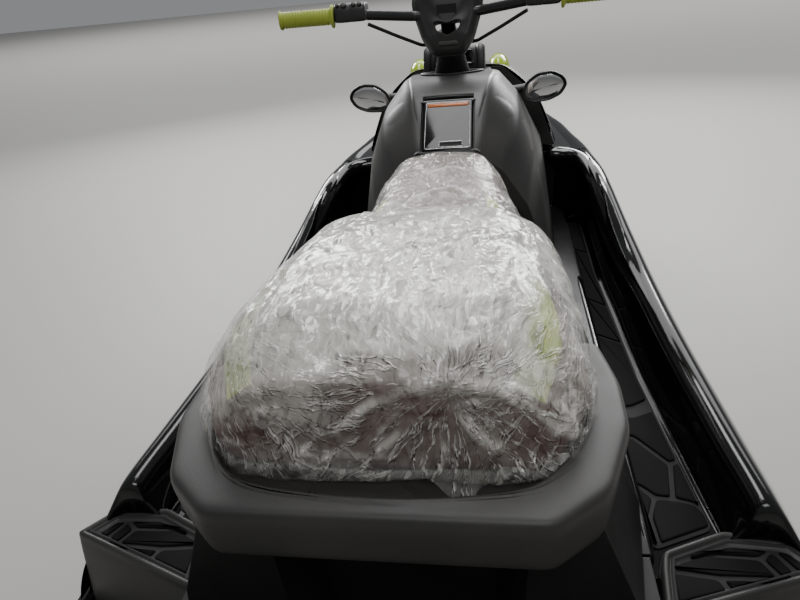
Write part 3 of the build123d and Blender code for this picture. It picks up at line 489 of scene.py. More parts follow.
# %% Lime stripe
FINISH["vinyl_lime"] = moulded(
    "vinyl_lime", (0.48, 0.62, 0.03, 1), (0.55, 0.68, 0.05, 1), (0.36, 0.46), (520.0, 0.8, 0.25)
)
STRIPE = {"passenger_pad": (-1.03, -0.76), "driver_pad": (-0.56, -0.42)}
STRIPE_COLUMNS, RING_POINTS = (5, 12), 18
for pad in (passenger_pad, driver_pad):
    pad.data.materials.append(FINISH["vinyl_lime"])
    rear, front = STRIPE[pad.name]
    for face in pad.data.polygons:
        if len(face.vertices) == 4 and rear < face.center.y < front and face.index % RING_POINTS in STRIPE_COLUMNS:
            face.material_index = 1
print("stripe faces", sum(f.material_index for p in (driver_pad, passenger_pad) for f in p.data.polygons))

# %% [markdown]
# ## Clear film over the saddle
# New saddles come wrapped in thin loose film. It is first grown from the pads: their hull is
# remeshed to even quads, cut open at the hem and given a ragged skirt. A short cloth run with the
# film a few percent too large for the saddle then buckles it, as the real film buckles, and fine
# creases are pressed in after.

# %% Film cut from the pads
FILM_GROW = 0.007
FILM_VOXEL = 0.0065
HEM = [(-0.17, 0.470), (-0.62, 0.492), (-0.70, 0.520), (-1.10, 0.517)]
SKIRT_ROWS = 3
FLAP_AT, FLAP_HALF = 0.072, 0.036
random.seed(7)


def hem_z(y):
    for (y1, z1), (y0, z0) in zip(HEM, HEM[1:]):
        if y >= y0:
            return z0 + (z1 - z0) * min(1.0, (y - y0) / (y1 - y0))
    return HEM[-1][1]


def grown_saddle():
    """Closed even-quad hull round both pads, grown outward."""
    mesh = bpy.data.meshes.new("film_hull")
    points, faces = [], []
    for pad in (driver_pad, passenger_pad):
        some, more = evaluated(pad)
        faces += [tuple(i + len(points) for i in f) for f in more]
        points += some
    mesh.from_pydata(points, [], faces)
    piece = bpy.data.objects.new("seat_film", mesh)
    bpy.context.scene.collection.objects.link(piece)
    grow = piece.modifiers.new("grow", "DISPLACE")
    grow.strength, grow.mid_level = FILM_GROW, 0.0
    remesh = piece.modifiers.new("even", "REMESH")
    remesh.mode, remesh.voxel_size = "VOXEL", FILM_VOXEL
    relax = piece.modifiers.new("relax", "SMOOTH")
    relax.factor, relax.iterations = 0.5, 10
    points, faces = evaluated(piece)
    piece.modifiers.clear()
    piece.data.clear_geometry()
    piece.data.from_pydata(points, [], faces)
    return piece


def open_hem(piece):
    """Cuts the hull open below the hem and adds a skirt that flares and tatters."""
    bm = bmesh.new()
    bm.from_mesh(piece.data)
    low = [f for f in bm.faces if f.calc_center_median().z < hem_z(f.calc_center_median().y)]
    bmesh.ops.delete(bm, geom=low, context="FACES")
    bmesh.ops.delete(bm, geom=[v for v in bm.verts if not v.link_faces], context="VERTS")
    middle = Vector((0.0, -0.62, 0))
    for row in range(SKIRT_ROWS):
        rim = [e for e in bm.edges if e.is_boundary]
        grown = bmesh.ops.extrude_edge_only(bm, edges=rim)
        for v in [g for g in grown["geom"] if isinstance(g, bmesh.types.BMVert)]:
            out = Vector((v.co.x, (v.co.y - middle.y) * 0.3, 0)).normalized()
            ragged = 0.5 + 1.4 * noise.noise(Vector((v.co.x, v.co.y, 0)) * 24)
            v.co += out * 0.003 + Vector((0, 0, -0.006 * max(-0.4, ragged)))
            flap = max(0.0, 1 - abs(v.co.x - FLAP_AT) / FLAP_HALF) if v.co.y < -1.0 else 0.0
            v.co += Vector((0, -0.014, -0.001)) * flap
            v.co.z = max(v.co.z, TRAY_Z + 0.003)
    bmesh.ops.recalc_face_normals(bm, faces=bm.faces)
    bm.to_mesh(piece.data)
    bm.free()
    return piece


film = open_hem(grown_saddle())
print("film", len(film.data.vertices), "points,", len(film.data.polygons), "faces")


# %% Seat for the film to lie on
def stiff_ground(name, *pieces):
    """Plain mesh of several pieces, for the cloth run to collide with. It is deleted after."""
    points, faces = [], []
    for piece in pieces:
        some, more = evaluated(piece)
        faces += [tuple(i + len(points) for i in f) for f in more]
        points += some
    mesh = bpy.data.meshes.new(name)
    mesh.from_pydata(points, [], faces)
    ground = bpy.data.objects.new(name, mesh)
    bpy.context.scene.collection.objects.link(ground)
    ground.modifiers.new("hard", "COLLISION")
    ground.collision.thickness_outer = 0.002
    ground.collision.cloth_friction = 12
    return ground


# %% Buckle the film
FILM_EXCESS = 0.07
FILM_FRAMES = 22
FILM_REACH = 0.024


def buckle(piece, ground):
    """A short cloth run with the film too large for its seat, capped so that no point strays."""
    start = [v.co.copy() for v in piece.data.vertices]
    for v in piece.data.vertices:
        v.co += 0.0016 * noise.noise_vector(v.co * 45)
    cloth = piece.modifiers.new("cloth", "CLOTH")
    set_up = cloth.settings
    set_up.quality = 5
    set_up.mass = 0.06
    set_up.tension_stiffness = set_up.compression_stiffness = 12
    set_up.shear_stiffness = 4
    set_up.bending_stiffness = 0.02
    set_up.air_damping = 2
    set_up.shrink_min = set_up.shrink_max = -FILM_EXCESS
    set_up.use_pressure = True
    set_up.uniform_pressure_force = -0.5
    cloth.collision_settings.distance_min = 0.002
    cloth.collision_settings.use_self_collision = False
    cloth.point_cache.frame_end = FILM_FRAMES
    scene = bpy.context.scene
    for frame_number in range(1, FILM_FRAMES + 1):
        scene.frame_set(frame_number)
    points, _ = evaluated(piece)
    piece.modifiers.remove(cloth)
    scene.frame_set(1)
    for v, was, now in zip(piece.data.vertices, start, points):
        move = now - was
        v.co = was + move * min(1.0, FILM_REACH / max(move.length, 1e-9))
    return piece


ground = stiff_ground("film_ground", driver_pad, passenger_pad, frame["nodes"]["grab_handle"])
buckle(film, ground)
bpy.data.objects.remove(ground)
for face in film.data.polygons:
    face.use_smooth = True
print("film box", [[round(v, 3) for v in c] for c in zip(*[(min(a), max(a)) for a in zip(*[v.co for v in film.data.vertices])])])


# %% [markdown]
# ### Creases in the film
# Thin film doesn't wave softly: it breaks into flat facets with sharp folds between them. Random
# heights on a cubic lattice, joined by flat tetrahedra, give just that, and layers of it at
# falling sizes, turned and bent by slow noise, hide the lattice. Longer folds follow named paths,
# most of them from the knot at the rear, and each path also says how milky and how white the film
# is along it: its haze, and a painted highlight on the fold.

# %% Facet noise
import numpy as np

CRUMPLE = [
    # facet size, height, stretch of the facets along their first direction, seed
    (0.085, 0.0040, 2.6, 3),
    (0.046, 0.0020, 2.4, 11),
    (0.024, 0.0012, 2.2, 29),
    (0.012, 0.0007, 1.6, 47),
]


def turned(points, seed):
    """Points in a random frame, so that no layer lines up with the axes or another layer."""
    spin = np.random.RandomState(seed).normal(size=(3, 3))
    frame_axes, _ = np.linalg.qr(spin)
    return points @ frame_axes.T


def lattice_value(cell, seed):
    """Repeatable random height, -1 to 1, for each lattice point."""
    mixed = np.sin(cell[:, 0] * 127.1 + cell[:, 1] * 311.7 + cell[:, 2] * 74.7 + seed * 53.3) * 43758.5453
    return 2 * (mixed - np.floor(mixed)) - 1


def facets(points, seed):
    """Random heights joined by flat tetrahedra: continuous, with a crease at each border."""
    cell = np.floor(points)
    part = points - cell
    order = np.argsort(-part, axis=1)
    ranked = np.take_along_axis(part, order, axis=1)
    height = (1 - ranked[:, 0]) * lattice_value(cell, seed)
    for k in range(3):
        step = np.zeros_like(cell)
        np.put_along_axis(step, order[:, k:k + 1], 1, axis=1)
        cell = cell + step
        weight = ranked[:, k] - (ranked[:, k + 1] if k < 2 else 0)
        height += weight * lattice_value(cell, seed)
    return height


def crumple(points):
    bend = np.array([noise.noise_vector(Vector(p) * 9) for p in points]) * 0.018
    height = np.zeros(len(points))
    for size_of, rise, stretch, seed in CRUMPLE:
        local = turned(points + bend, seed) / size_of
        local[:, 0] /= stretch
        height += rise * facets(local, seed)
    return height


# %% Folds, knots and clear patches
FOLDS = [
    # half width, rise, haze and painted highlight of the fold, points along it
    (0.046, 0.0000, 0.60, [(-0.175, -1.040, 0.600), (-0.110, -1.058, 0.598), (-0.075, -1.058, 0.596)]),
    (0.040, 0.0000, 0.46, [(0.200, -0.960, 0.600), (0.185, -1.030, 0.575)]),
    (0.030, 0.0000, 0.24, [(-0.020, -1.049, 0.621), (0.060, -1.044, 0.624), (0.105, -1.032, 0.624)]),
    (0.026, 0.0000, 0.22, [(0.155, -0.874, 0.640), (0.165, -0.940, 0.630), (0.160, -1.000, 0.620)]),
    (0.010, 0.0060, 0.85, [(0.099, -1.034, 0.628), (0.069, -1.051, 0.619), (0.024, -1.058, 0.607), (-0.003, -1.058, 0.592)]),
    (0.008, 0.0050, 0.80, [(-0.003, -1.058, 0.592), (-0.026, -1.058, 0.575), (-0.046, -1.058, 0.560)]),
    (0.007, 0.0050, 0.75, [(0.062, -1.058, 0.608), (0.043, -1.063, 0.595), (0.027, -1.062, 0.570), (-0.001, -1.056, 0.543)]),
    (0.006, 0.0040, 0.70, [(0.037, -1.059, 0.612), (0.016, -1.058, 0.579), (-0.004, -1.058, 0.554)]),
    (0.007, 0.0050, 0.80, [(0.066, -1.058, 0.606), (0.075, -1.060, 0.585), (0.090, -1.061, 0.565), (0.113, -1.065, 0.550)]),
    (0.009, 0.0060, 0.85, [(0.075, -1.054, 0.610), (0.083, -1.052, 0.612), (0.112, -1.054, 0.603), (0.143, -1.055, 0.587), (0.163, -1.053, 0.563)]),
    (0.006, 0.0040, 0.70, [(0.094, -1.062, 0.593), (0.120, -1.061, 0.565), (0.145, -1.060, 0.548)]),
    (0.012, 0.0050, 0.75, [(0.108, -1.021, 0.633), (0.135, -1.032, 0.612), (0.161, -1.045, 0.592), (0.178, -1.044, 0.558)]),
    (0.006, 0.0040, 0.70, [(-0.071, -1.058, 0.590), (-0.048, -1.058, 0.593), (-0.047, -1.059, 0.569), (-0.074, -1.059, 0.540)]),
    (0.006, 0.0035, 0.65, [(-0.023, -1.059, 0.559), (-0.055, -1.059, 0.529)]),
    (0.006, 0.0040, 0.70, [(0.052, -1.060, 0.600), (0.056, -1.061, 0.572), (0.064, -1.062, 0.540)]),
    (0.004, 0.0020, 0.45, [(-0.160, -1.050, 0.545), (-0.074, -1.061, 0.538), (0.019, -1.058, 0.536), (0.089, -1.060, 0.546)]),
    (0.008, 0.0040, 0.80, [(-0.147, -1.051, 0.598), (-0.129, -1.059, 0.587), (-0.100, -1.060, 0.583), (-0.069, -1.057, 0.598)]),
    (0.006, 0.0035, 0.80, [(-0.133, -1.046, 0.612), (-0.105, -1.057, 0.603), (-0.086, -1.052, 0.611)]),
    (0.007, 0.0045, 1.00, [(-0.090, -1.030, 0.628), (-0.077, -1.046, 0.619), (-0.005, -1.052, 0.620), (0.047, -1.048, 0.624), (0.101, -1.031, 0.630)]),
    (0.012, 0.0045, 1.00, [(0.130, -0.720, 0.650), (0.109, -0.760, 0.657), (0.049, -0.888, 0.663), (-0.030, -1.000, 0.655)]),
    (0.009, 0.0040, 1.00, [(0.136, -0.740, 0.651), (0.122, -0.910, 0.653), (0.110, -1.002, 0.638)]),
    (0.009, 0.0040, 0.95, [(-0.065, -0.700, 0.650), (-0.077, -0.866, 0.663), (-0.120, -0.950, 0.656)]),
    (0.010, 0.0080, 0.90, [(-0.120, -0.600, 0.560), (-0.081, -0.497, 0.582), (-0.050, -0.388, 0.599), (0.021, -0.350, 0.603), (0.095, -0.382, 0.581)]),
    (0.010, 0.0080, 0.90, [(-0.100, -0.640, 0.585), (-0.034, -0.469, 0.588), (0.033, -0.440, 0.583), (0.115, -0.520, 0.590)]),
    (0.009, 0.0070, 0.90, [(-0.090, -0.440, 0.570), (-0.040, -0.290, 0.590), (0.040, -0.270, 0.585)]),
    (0.009, 0.0060, 0.85, [(-0.060, -0.640, 0.590), (-0.010, -0.560, 0.585), (0.060, -0.560, 0.585), (0.120, -0.640, 0.595)]),
]


def off_path(points, path):
    """Distance of every point from a chain of straight stretches."""
    best = np.full(len(points), 9.0)
    for a, b in zip(path, path[1:]):
        a, b = np.array(a), np.array(b)
        along = b - a
        share = np.clip((points - a) @ along / (along @ along), 0, 1)
        best = np.minimum(best, np.linalg.norm(points - a - share[:, None] * along, axis=1))
    return best


def ramp(value, low, high):
    t = np.clip((value - low) / (high - low), 0, 1)
    return t * t * (3 - 2 * t)


def film_folds(points, normals):
    """Height of the folds, and how hazy and white the film is at each point, with a painted highlight along each fold.
    """
    wobble = np.array([noise.noise_vector(Vector(p) * 28) for p in points])
    strayed = points + wobble * 0.0035
    height = np.zeros(len(points))
    haze_and_highlight = 0.06 + 0.94 * ramp(normals[:, 2], 0.25, 0.75) * ramp(points[:, 2], 0.572, 0.604)
    haze_and_highlight = np.where(points[:, 1] > -0.66, 0.42 + 0.14 * wobble[:, 1], haze_and_highlight)
    haze_and_highlight *= ramp(points[:, 2], 0.500, 0.545) * 0.75 + 0.25
    for half_width, rise, hazy_and_bright, path in FOLDS:
        near = np.clip(1 - off_path(strayed, path) / half_width, 0, 1)
        height += rise * near**1.3
        # Along each fold the film is made hazier and whiter: its haze, with a painted highlight on the fold.
        weight = np.clip(near * 1.8, 0, 1) * (0.75 + 0.3 * wobble[:, 0])
        haze_and_highlight += (hazy_and_bright - haze_and_highlight) * np.clip(weight, 0, 1)
    return height, np.clip(haze_and_highlight, 0, 1)


LOOSE_RIGHT = [(-0.95, 0.0), (-0.90, 0.006), (-0.82, 0.016), (-0.73, 0.022), (-0.64, 0.038), (-0.52, 0.028), (-0.39, 0.012), (-0.25, 0.0)]


def crease_film(piece):
    points, faces = evaluated(piece)
    piece.modifiers.clear()
    piece.data.clear_geometry()
    piece.data.from_pydata(points, [], faces)
    flat = np.array([tuple(p) for p in points])
    normals = np.array([tuple(v.normal) for v in piece.data.vertices])
    folds, haze_and_highlight = film_folds(flat, normals)
    height = crumple(flat) + folds
    placed = flat + normals * (height[:, None] + 0.002)
    slack = np.interp(flat[:, 1], [y for y, _ in LOOSE_RIGHT], [amount for _, amount in LOOSE_RIGHT])
    placed[:, 0] += slack * ramp(flat[:, 0], 0.05, 0.13)
    piece.data.vertices.foreach_set("co", placed.astype(np.float32).ravel())
    piece.data.polygons.foreach_set("use_smooth", [True] * len(piece.data.polygons))
    piece.data.update()
    # The stored value is the film's haze, with the painted highlight of the folds.
    piece.data.attributes.new("haze_and_highlight", "FLOAT", "POINT").data.foreach_set("value", haze_and_highlight.astype(np.float32))
    return height


finer = film.modifiers.new("finer", "SUBSURF")
finer.levels = finer.render_levels = 1
heights = crease_film(film)
print("film", len(film.data.polygons), "faces, creases", round(float(heights.min()), 4), round(float(heights.max()), 4))

# %% [markdown]
# ### Film finish
# The film is clear where it lies smooth and milky where it is creased. The mesh carries a value
# for that: high over the flat top, where layers of creases pile up, low over the rear face, and
# higher along each fold, where it is partly a painted highlight. It sets the opacity here, together
# with thin lines along the finest creases and fans of streaks that spread from the pinched places,
# which make the film denser and paint glints on it.

# %% Film finish
def build_crease_group():
    """Crumpled facets: each cell of a bent lattice is a plane with its own tilt, and borders make the folds."""
    group, start, end = new_group(
        "Creases",
        [("Scale", FLOAT, 30.0), ("Bend", FLOAT, 0.05), ("Turn", VECTOR, (0.0, 0.0, 0.0)),
         ("Stretch", VECTOR, (1.0, 0.4, 0.9))],
        [("Height", FLOAT), ("Lines", FLOAT)],
    )
    place = add(group, "ShaderNodeTexCoord")
    slow = add(group, "ShaderNodeTexNoise", Scale=13.0, Detail=3.0, Roughness=0.6)
    shift = add(group, "ShaderNodeVectorMath", operation="SCALE")
    moved = add(group, "ShaderNodeVectorMath", operation="ADD")
    turn = add(group, "ShaderNodeMapping")
    cells = add(group, "ShaderNodeTexVoronoi", feature="F1")
    edge = add(group, "ShaderNodeTexVoronoi", feature="DISTANCE_TO_EDGE")
    away = add(group, "ShaderNodeVectorMath", operation="SUBTRACT")
    tilt = add(group, "ShaderNodeVectorMath", operation="SUBTRACT")
    tilt.inputs[1].default_value = (0.5, 0.5, 0.5)
    plane = add(group, "ShaderNodeVectorMath", operation="DOT_PRODUCT")
    thin = add(group, "ShaderNodeMapRange", From_Max=0.03, To_Min=1.0, To_Max=0.0)
    join(group, place.outputs["Object"], slow.inputs["Vector"])
    join(group, slow.outputs["Color"], shift.inputs[0])
    join(group, start.outputs["Bend"], shift.inputs["Scale"])
    join(group, place.outputs["Object"], moved.inputs[0])
    join(group, shift.outputs[0], moved.inputs[1])
    join(group, moved.outputs[0], turn.inputs["Vector"])
    join(group, start.outputs["Turn"], turn.inputs["Rotation"])
    join(group, start.outputs["Stretch"], turn.inputs["Scale"])
    for texture in (cells, edge):
        join(group, turn.outputs[0], texture.inputs["Vector"])
        join(group, start.outputs["Scale"], texture.inputs["Scale"])
    join(group, turn.outputs[0], away.inputs[0])
    join(group, cells.outputs["Position"], away.inputs[1])
    join(group, cells.outputs["Color"], tilt.inputs[0])
    join(group, away.outputs[0], plane.inputs[0])
    join(group, tilt.outputs[0], plane.inputs[1])
    join(group, plane.outputs["Value"], end.inputs["Height"])
    join(group, edge.outputs["Distance"], thin.inputs["Value"])
    join(group, thin.outputs[0], end.inputs["Lines"])
    return group


def build_streak_group():
    """Mask of thin lines that fan out from one pinched place in the film, for streaks of denser film with painted
    glints.
    """
    group, start, end = new_group(
        "Streaks",
        [("Centre", VECTOR, (0.0, 0.0, 0.0)), ("Count", FLOAT, 7.0), ("Reach", FLOAT, 0.2), ("Width", FLOAT, 0.03)],
        [("Mask", FLOAT)],
    )
    place = add(group, "ShaderNodeTexCoord")
    slow = add(group, "ShaderNodeTexNoise", Scale=20.0, Detail=3.0, Roughness=0.6)
    shift = add(group, "ShaderNodeVectorMath", operation="SCALE")
    shift.inputs["Scale"].default_value = 0.022
    moved = add(group, "ShaderNodeVectorMath", operation="ADD")
    away = add(group, "ShaderNodeVectorMath", operation="SUBTRACT")
    parts = add(group, "ShaderNodeSeparateXYZ")
    angle = add(group, "ShaderNodeMath", operation="ARCTAN2")
    turned_by = add(group, "ShaderNodeMath", operation="MULTIPLY")
    distance = add(group, "ShaderNodeVectorMath", operation="LENGTH")
    outward = add(group, "ShaderNodeMath", operation="MULTIPLY")
    outward.inputs[1].default_value = 9.0
    fan = add(group, "ShaderNodeCombineXYZ")
    ripples = add(group, "ShaderNodeTexNoise", Scale=1.0, Detail=3.0, Roughness=0.62)
    offset = add(group, "ShaderNodeMath", operation="SUBTRACT")
    offset.inputs[1].default_value = 0.5
    both_sides = add(group, "ShaderNodeMath", operation="ABSOLUTE")
    thin = add(group, "ShaderNodeMapRange", To_Min=1.0, To_Max=0.0)
    fade = add(group, "ShaderNodeMapRange", To_Min=1.0, To_Max=0.0)
    result = add(group, "ShaderNodeMath", operation="MULTIPLY")
    join(group, place.outputs["Object"], slow.inputs["Vector"])
    join(group, slow.outputs["Color"], shift.inputs[0])
    join(group, place.outputs["Object"], moved.inputs[0])
    join(group, shift.outputs[0], moved.inputs[1])
    join(group, moved.outputs[0], away.inputs[0])
    join(group, start.outputs["Centre"], away.inputs[1])
    join(group, away.outputs[0], parts.inputs[0])
    join(group, parts.outputs["Z"], angle.inputs[0])
    join(group, parts.outputs["X"], angle.inputs[1])
    join(group, angle.outputs[0], turned_by.inputs[0])
    join(group, start.outputs["Count"], turned_by.inputs[1])
    join(group, away.outputs[0], distance.inputs[0])
    join(group, distance.outputs["Value"], outward.inputs[0])
    join(group, turned_by.outputs[0], fan.inputs["X"])
    join(group, outward.outputs[0], fan.inputs["Y"])
    join(group, fan.outputs[0], ripples.inputs["Vector"])
    join(group, ripples.outputs["Fac"], offset.inputs[0])
    join(group, offset.outputs[0], both_sides.inputs[0])
    join(group, both_sides.outputs[0], thin.inputs["Value"])
    join(group, start.outputs["Width"], thin.inputs["From Max"])
    join(group, distance.outputs["Value"], fade.inputs["Value"])
    join(group, start.outputs["Reach"], fade.inputs["From Max"])
    join(group, thin.outputs[0], result.inputs[0])
    join(group, fade.outputs[0], result.inputs[1])
    join(group, result.outputs[0], end.inputs["Mask"])
    return group


CREASES = build_crease_group()
STREAKS = build_streak_group()
FANS = [
    # centre, count, reach, width, opacity along the streaks: denser film with painted glints
    ((0.080, -1.050, 0.622), 5.0, 0.22, 0.034, 0.90),
    ((-0.150, -1.035, 0.640), 6.0, 0.20, 0.030, 0.70),
    ((0.195, -1.000, 0.650), 6.0, 0.18, 0.030, 0.70),
]
FILM_ALPHA = (0.04, 0.66)
FILM_LAYERS = [
    # scale, bend, turn, stretch, bump depth, opacity of its lines: denser film with painted glints
    (16.0, 0.10, (0.3, 0.2, 0.9), (1.0, 0.30, 0.8), 0.12, 0.10),
    (38.0, 0.08, (0.1, 0.6, -0.5), (1.0, 0.20, 0.6), 0.26, 0.22),
    (85.0, 0.06, (0.5, 0.1, 2.1), (1.0, 0.16, 0.5), 0.60, 0.26),
    (190.0, 0.04, (0.2, 0.4, 1.2), (1.0, 0.26, 0.6), 0.75, 0.18),
]


def film_finish():
    """Alpha from the haze and painted highlight value of the mesh, raised along the finest creases and the streaks,
    where the film is denser and painted with glints.
    """
    material = bpy.data.materials.new("film_clear")
    material.use_nodes = True
    tree = material.node_tree
    shader = tree.nodes["Principled BSDF"]
    shader.inputs["Base Color"].default_value = (0.82, 0.80, 0.73, 1)
    shader.inputs["Specular IOR Level"].default_value = 1.0
    shader.inputs["Coat Weight"].default_value = 0.4
    shader.inputs["Coat Roughness"].default_value = 0.04
    clouds = group_node(tree, MOTTLE, Scale=9.0)
    haze_and_highlight_value = add(tree, "ShaderNodeAttribute", attribute_name="haze_and_highlight")
    base = add(tree, "ShaderNodeMapRange", To_Min=FILM_ALPHA[0], To_Max=FILM_ALPHA[1])
    join(tree, haze_and_highlight_value.outputs["Fac"], base.inputs["Value"])
    hazy_and_bright = add(tree, "ShaderNodeMath", operation="MULTIPLY_ADD")
    hazy_and_bright.inputs[1].default_value = 0.14
    join(tree, clouds.outputs["Mask"], hazy_and_bright.inputs[0])
    join(tree, base.outputs[0], hazy_and_bright.inputs[2])
    gain = add(tree, "ShaderNodeMapRange", From_Min=0.25, From_Max=0.9, To_Min=0.10, To_Max=1.0)
    join(tree, haze_and_highlight_value.outputs["Fac"], gain.inputs["Value"])
    alpha, normal = hazy_and_bright.outputs[0], None
    clear = add(tree, "ShaderNodeMapRange", From_Min=0.1, From_Max=0.9, To_Min=1.0, To_Max=0.08)
    join(tree, haze_and_highlight_value.outputs["Fac"], clear.inputs["Value"])
    # Each fan raises the opacity of the whitish film in thin streaks: denser creased film, and painted glints on it.
    for centre, count, reach, width, haze_and_highlight in FANS:
        fan = group_node(tree, STREAKS, Centre=centre, Count=count, Reach=reach, Width=width)
        kept = add(tree, "ShaderNodeMath", operation="MULTIPLY")
        join(tree, fan.outputs["Mask"], kept.inputs[0])
        join(tree, clear.outputs[0], kept.inputs[1])
        streaked = add(tree, "ShaderNodeMath", operation="MULTIPLY_ADD", use_clamp=True)
        streaked.inputs[1].default_value = haze_and_highlight
        join(tree, kept.outputs[0], streaked.inputs[0])
        join(tree, alpha, streaked.inputs[2])
        ridge = add(tree, "ShaderNodeBump", Strength=1.0, Distance=0.006)
        join(tree, kept.outputs[0], ridge.inputs["Height"])
        if normal:
            join(tree, normal, ridge.inputs["Normal"])
        alpha, normal = streaked.outputs[0], ridge.outputs[0]
    # Each layer raises the opacity along its finest creases: denser creased film, and painted glints on it.
    for scale, bend, turn, stretch, depth, haze_and_highlight in FILM_LAYERS:
        layer = group_node(tree, CREASES, Scale=scale, Bend=bend, Turn=turn, Stretch=stretch)
        faint = add(tree, "ShaderNodeMath", operation="MULTIPLY")
        join(tree, layer.outputs["Lines"], faint.inputs[0])
        join(tree, gain.outputs[0], faint.inputs[1])
        denser_and_glinting = add(tree, "ShaderNodeMath", operation="MULTIPLY_ADD", use_clamp=True)
        denser_and_glinting.inputs[1].default_value = haze_and_highlight
        join(tree, faint.outputs[0], denser_and_glinting.inputs[0])
        join(tree, alpha, denser_and_glinting.inputs[2])
        bump = add(tree, "ShaderNodeBump", Strength=1.0, Distance=depth)
        join(tree, layer.outputs["Height"], bump.inputs["Height"])
        if normal:
            join(tree, normal, bump.inputs["Normal"])
        alpha, normal = denser_and_glinting.outputs[0], bump.outputs[0]
    join(tree, alpha, shader.inputs["Alpha"])
    join(tree, normal, shader.inputs["Normal"])
    rough = add(tree, "ShaderNodeMapRange", To_Min=0.14, To_Max=0.26)
    join(tree, clouds.outputs["Mask"], rough.inputs["Value"])
    join(tree, rough.outputs[0], shader.inputs["Roughness"])
    return material


FINISH["film_clear"] = film_finish()
film.data.materials.append(FINISH["film_clear"])
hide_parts("seat_wrap")
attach(film, "craft")

# %% [markdown]
# ## Side decks
# The gunwales are the show piece of the hull: one fat gloss roll on each side that rises toward
# the bow. Their bright edge lines need an even surface, so each is a skin over the CAD deck with
# the same stations, drawn from the mat's edge over the roll and down to the rub rail.

# %% Side decks
# y, wall foot x, wall foot z, roll crest x, roll crest z, roll radius, shoulder x, shoulder z, flange x, flange z
SIDE_DECK = [
    (-0.928, 0.404, 0.236, 0.446, 0.297, 0.020, 0.511, 0.194, 0.543, 0.112),
    (-0.750, 0.392, 0.232, 0.432, 0.303, 0.024, 0.507, 0.203, 0.546, 0.116),
    (-0.500, 0.369, 0.230, 0.415, 0.313, 0.026, 0.484, 0.216, 0.533, 0.119),
    (-0.250, 0.358, 0.230, 0.401, 0.331, 0.027, 0.464, 0.234, 0.522, 0.122),
    (-0.050, 0.349, 0.230, 0.382, 0.371, 0.028, 0.452, 0.254, 0.517, 0.126),
    (0.150, 0.350, 0.230, 0.361, 0.425, 0.028, 0.442, 0.274, 0.512, 0.130),
    (0.240, 0.352, 0.232, 0.354, 0.432, 0.028, 0.436, 0.281, 0.509, 0.132),
    (0.330, 0.347, 0.240, 0.344, 0.434, 0.028, 0.431, 0.290, 0.505, 0.137),
]
SIDE_DECK_STEPS = 26
STERN_EDGE = [(0.305, -0.930), (0.312, -0.900), (0.395, -0.862), (0.479, -0.868), (0.519, -0.918), (0.570, -0.938)]
END_ROLL = [
    # distance behind the slanted edge, share of the height kept
    (0.012, 0.05), (0.010, 0.45), (0.006, 0.80), (0.0, 0.97),
]
END_FLOOR_Z = 0.240
FRONT_SINK = [
    # distance ahead of the last station, drop
    (0.006, 0.004), (0.012, 0.012), (0.016, 0.024),
]


def stern_edge_y(x):
    for (x0, y0), (x1, y1) in zip(STERN_EDGE, STERN_EDGE[1:]):
        if x <= x1:
            return y0 + (y1 - y0) * max(0.0, (x - x0) / (x1 - x0))
    return STERN_EDGE[-1][1]


def deck_section(y):
    """Half section as x, z: one even sweep of wall, the roll, the shoulder and the flange."""
    _, fx, fz, cx, cz, r, sx, sz, gx, gz = smooth_rows(SIDE_DECK, [y])[0]
    wall_top = cz - 1.3 * r
    wall = [(fx + (cx - 0.98 * r - fx) * t, fz + (wall_top - fz) * t) for t in (0.0, 0.03, 0.35, 0.7, 1.0)]
    return wall + [
        (cx - 0.80 * r, cz - 0.45 * r), (cx - 0.42 * r, cz - 0.04 * r), (cx + 0.10 * r, cz + 0.08 * r),
        (cx + 0.62 * r, cz - 0.16 * r), (cx + 1.05 * r, cz - 0.72 * r),
        ((cx + 1.15 * r + sx) / 2, (cz - 0.75 * r + sz) / 2 - 0.002),
        (sx, sz + 0.002), (sx + 0.006, sz - 0.010), ((sx + gx) / 2 + 0.004, (sz + gz) / 2), (gx, gz),
    ]


def side_deck(sign):
    """Skin from the slanted stern edge forward, with its rear end rolled down to the corner moulding."""
    rear, front = SIDE_DECK[0][0], SIDE_DECK[-1][0]
    rings = []
    for k in range(SIDE_DECK_STEPS):
        share = k / (SIDE_DECK_STEPS - 1)
        ring = []
        for n, (x, _) in enumerate(deck_section(rear + (front - rear) * share)):
            y = stern_edge_y(x) * (1 - share) + front * share
            x, z = deck_section(y)[n]
            ring.append((sign * x, y, z))
        rings.append(ring)
    rolled = []
    for behind, kept in END_ROLL:
        rolled.append([(x, y - behind, min(z, END_FLOOR_Z + (z - END_FLOOR_Z) * kept)) for x, y, z in rings[0]])
    sunk = [[(x, y + ahead, z - drop) for x, y, z in rings[-1]] for ahead, drop in FRONT_SINK]
    points, faces = skin(rolled + rings[1:] + sunk, closed=False, caps=False)
    name = "side_deck_right" if sign > 0 else "side_deck_left"
    return mesh_piece(name, points, faces, "gelcoat_black", level=2)


FRONT_ROLL = [
    # x, y, z of the middle of the roll that turns in over the front wall of the footwell
    (0.357, 0.090, 0.389), (0.353, 0.180, 0.402), (0.347, 0.245, 0.408), (0.333, 0.290, 0.412), (0.308, 0.316, 0.415),
    (0.276, 0.326, 0.418), (0.240, 0.328, 0.420),
]
FRONT_ROLL_RADIUS = 0.026


def tube(path, radius_at, sides=14):
    """Rings of a round bar along a path that lies nearly level."""
    rings = []
    for k, here in enumerate(path):
        before, after = Vector(path[max(k - 1, 0)]), Vector(path[min(k + 1, len(path) - 1)])
        along = (after - before).normalized()
        across = along.cross(Vector((0, 0, 1))).normalized()
        up = across.cross(along)
        turns = [2 * math.pi * n / sides for n in range(sides)]
        radius = radius_at(k)
        rings.append([Vector(here) + across * radius * math.cos(t) + up * radius * math.sin(t) for t in turns])
    return rings


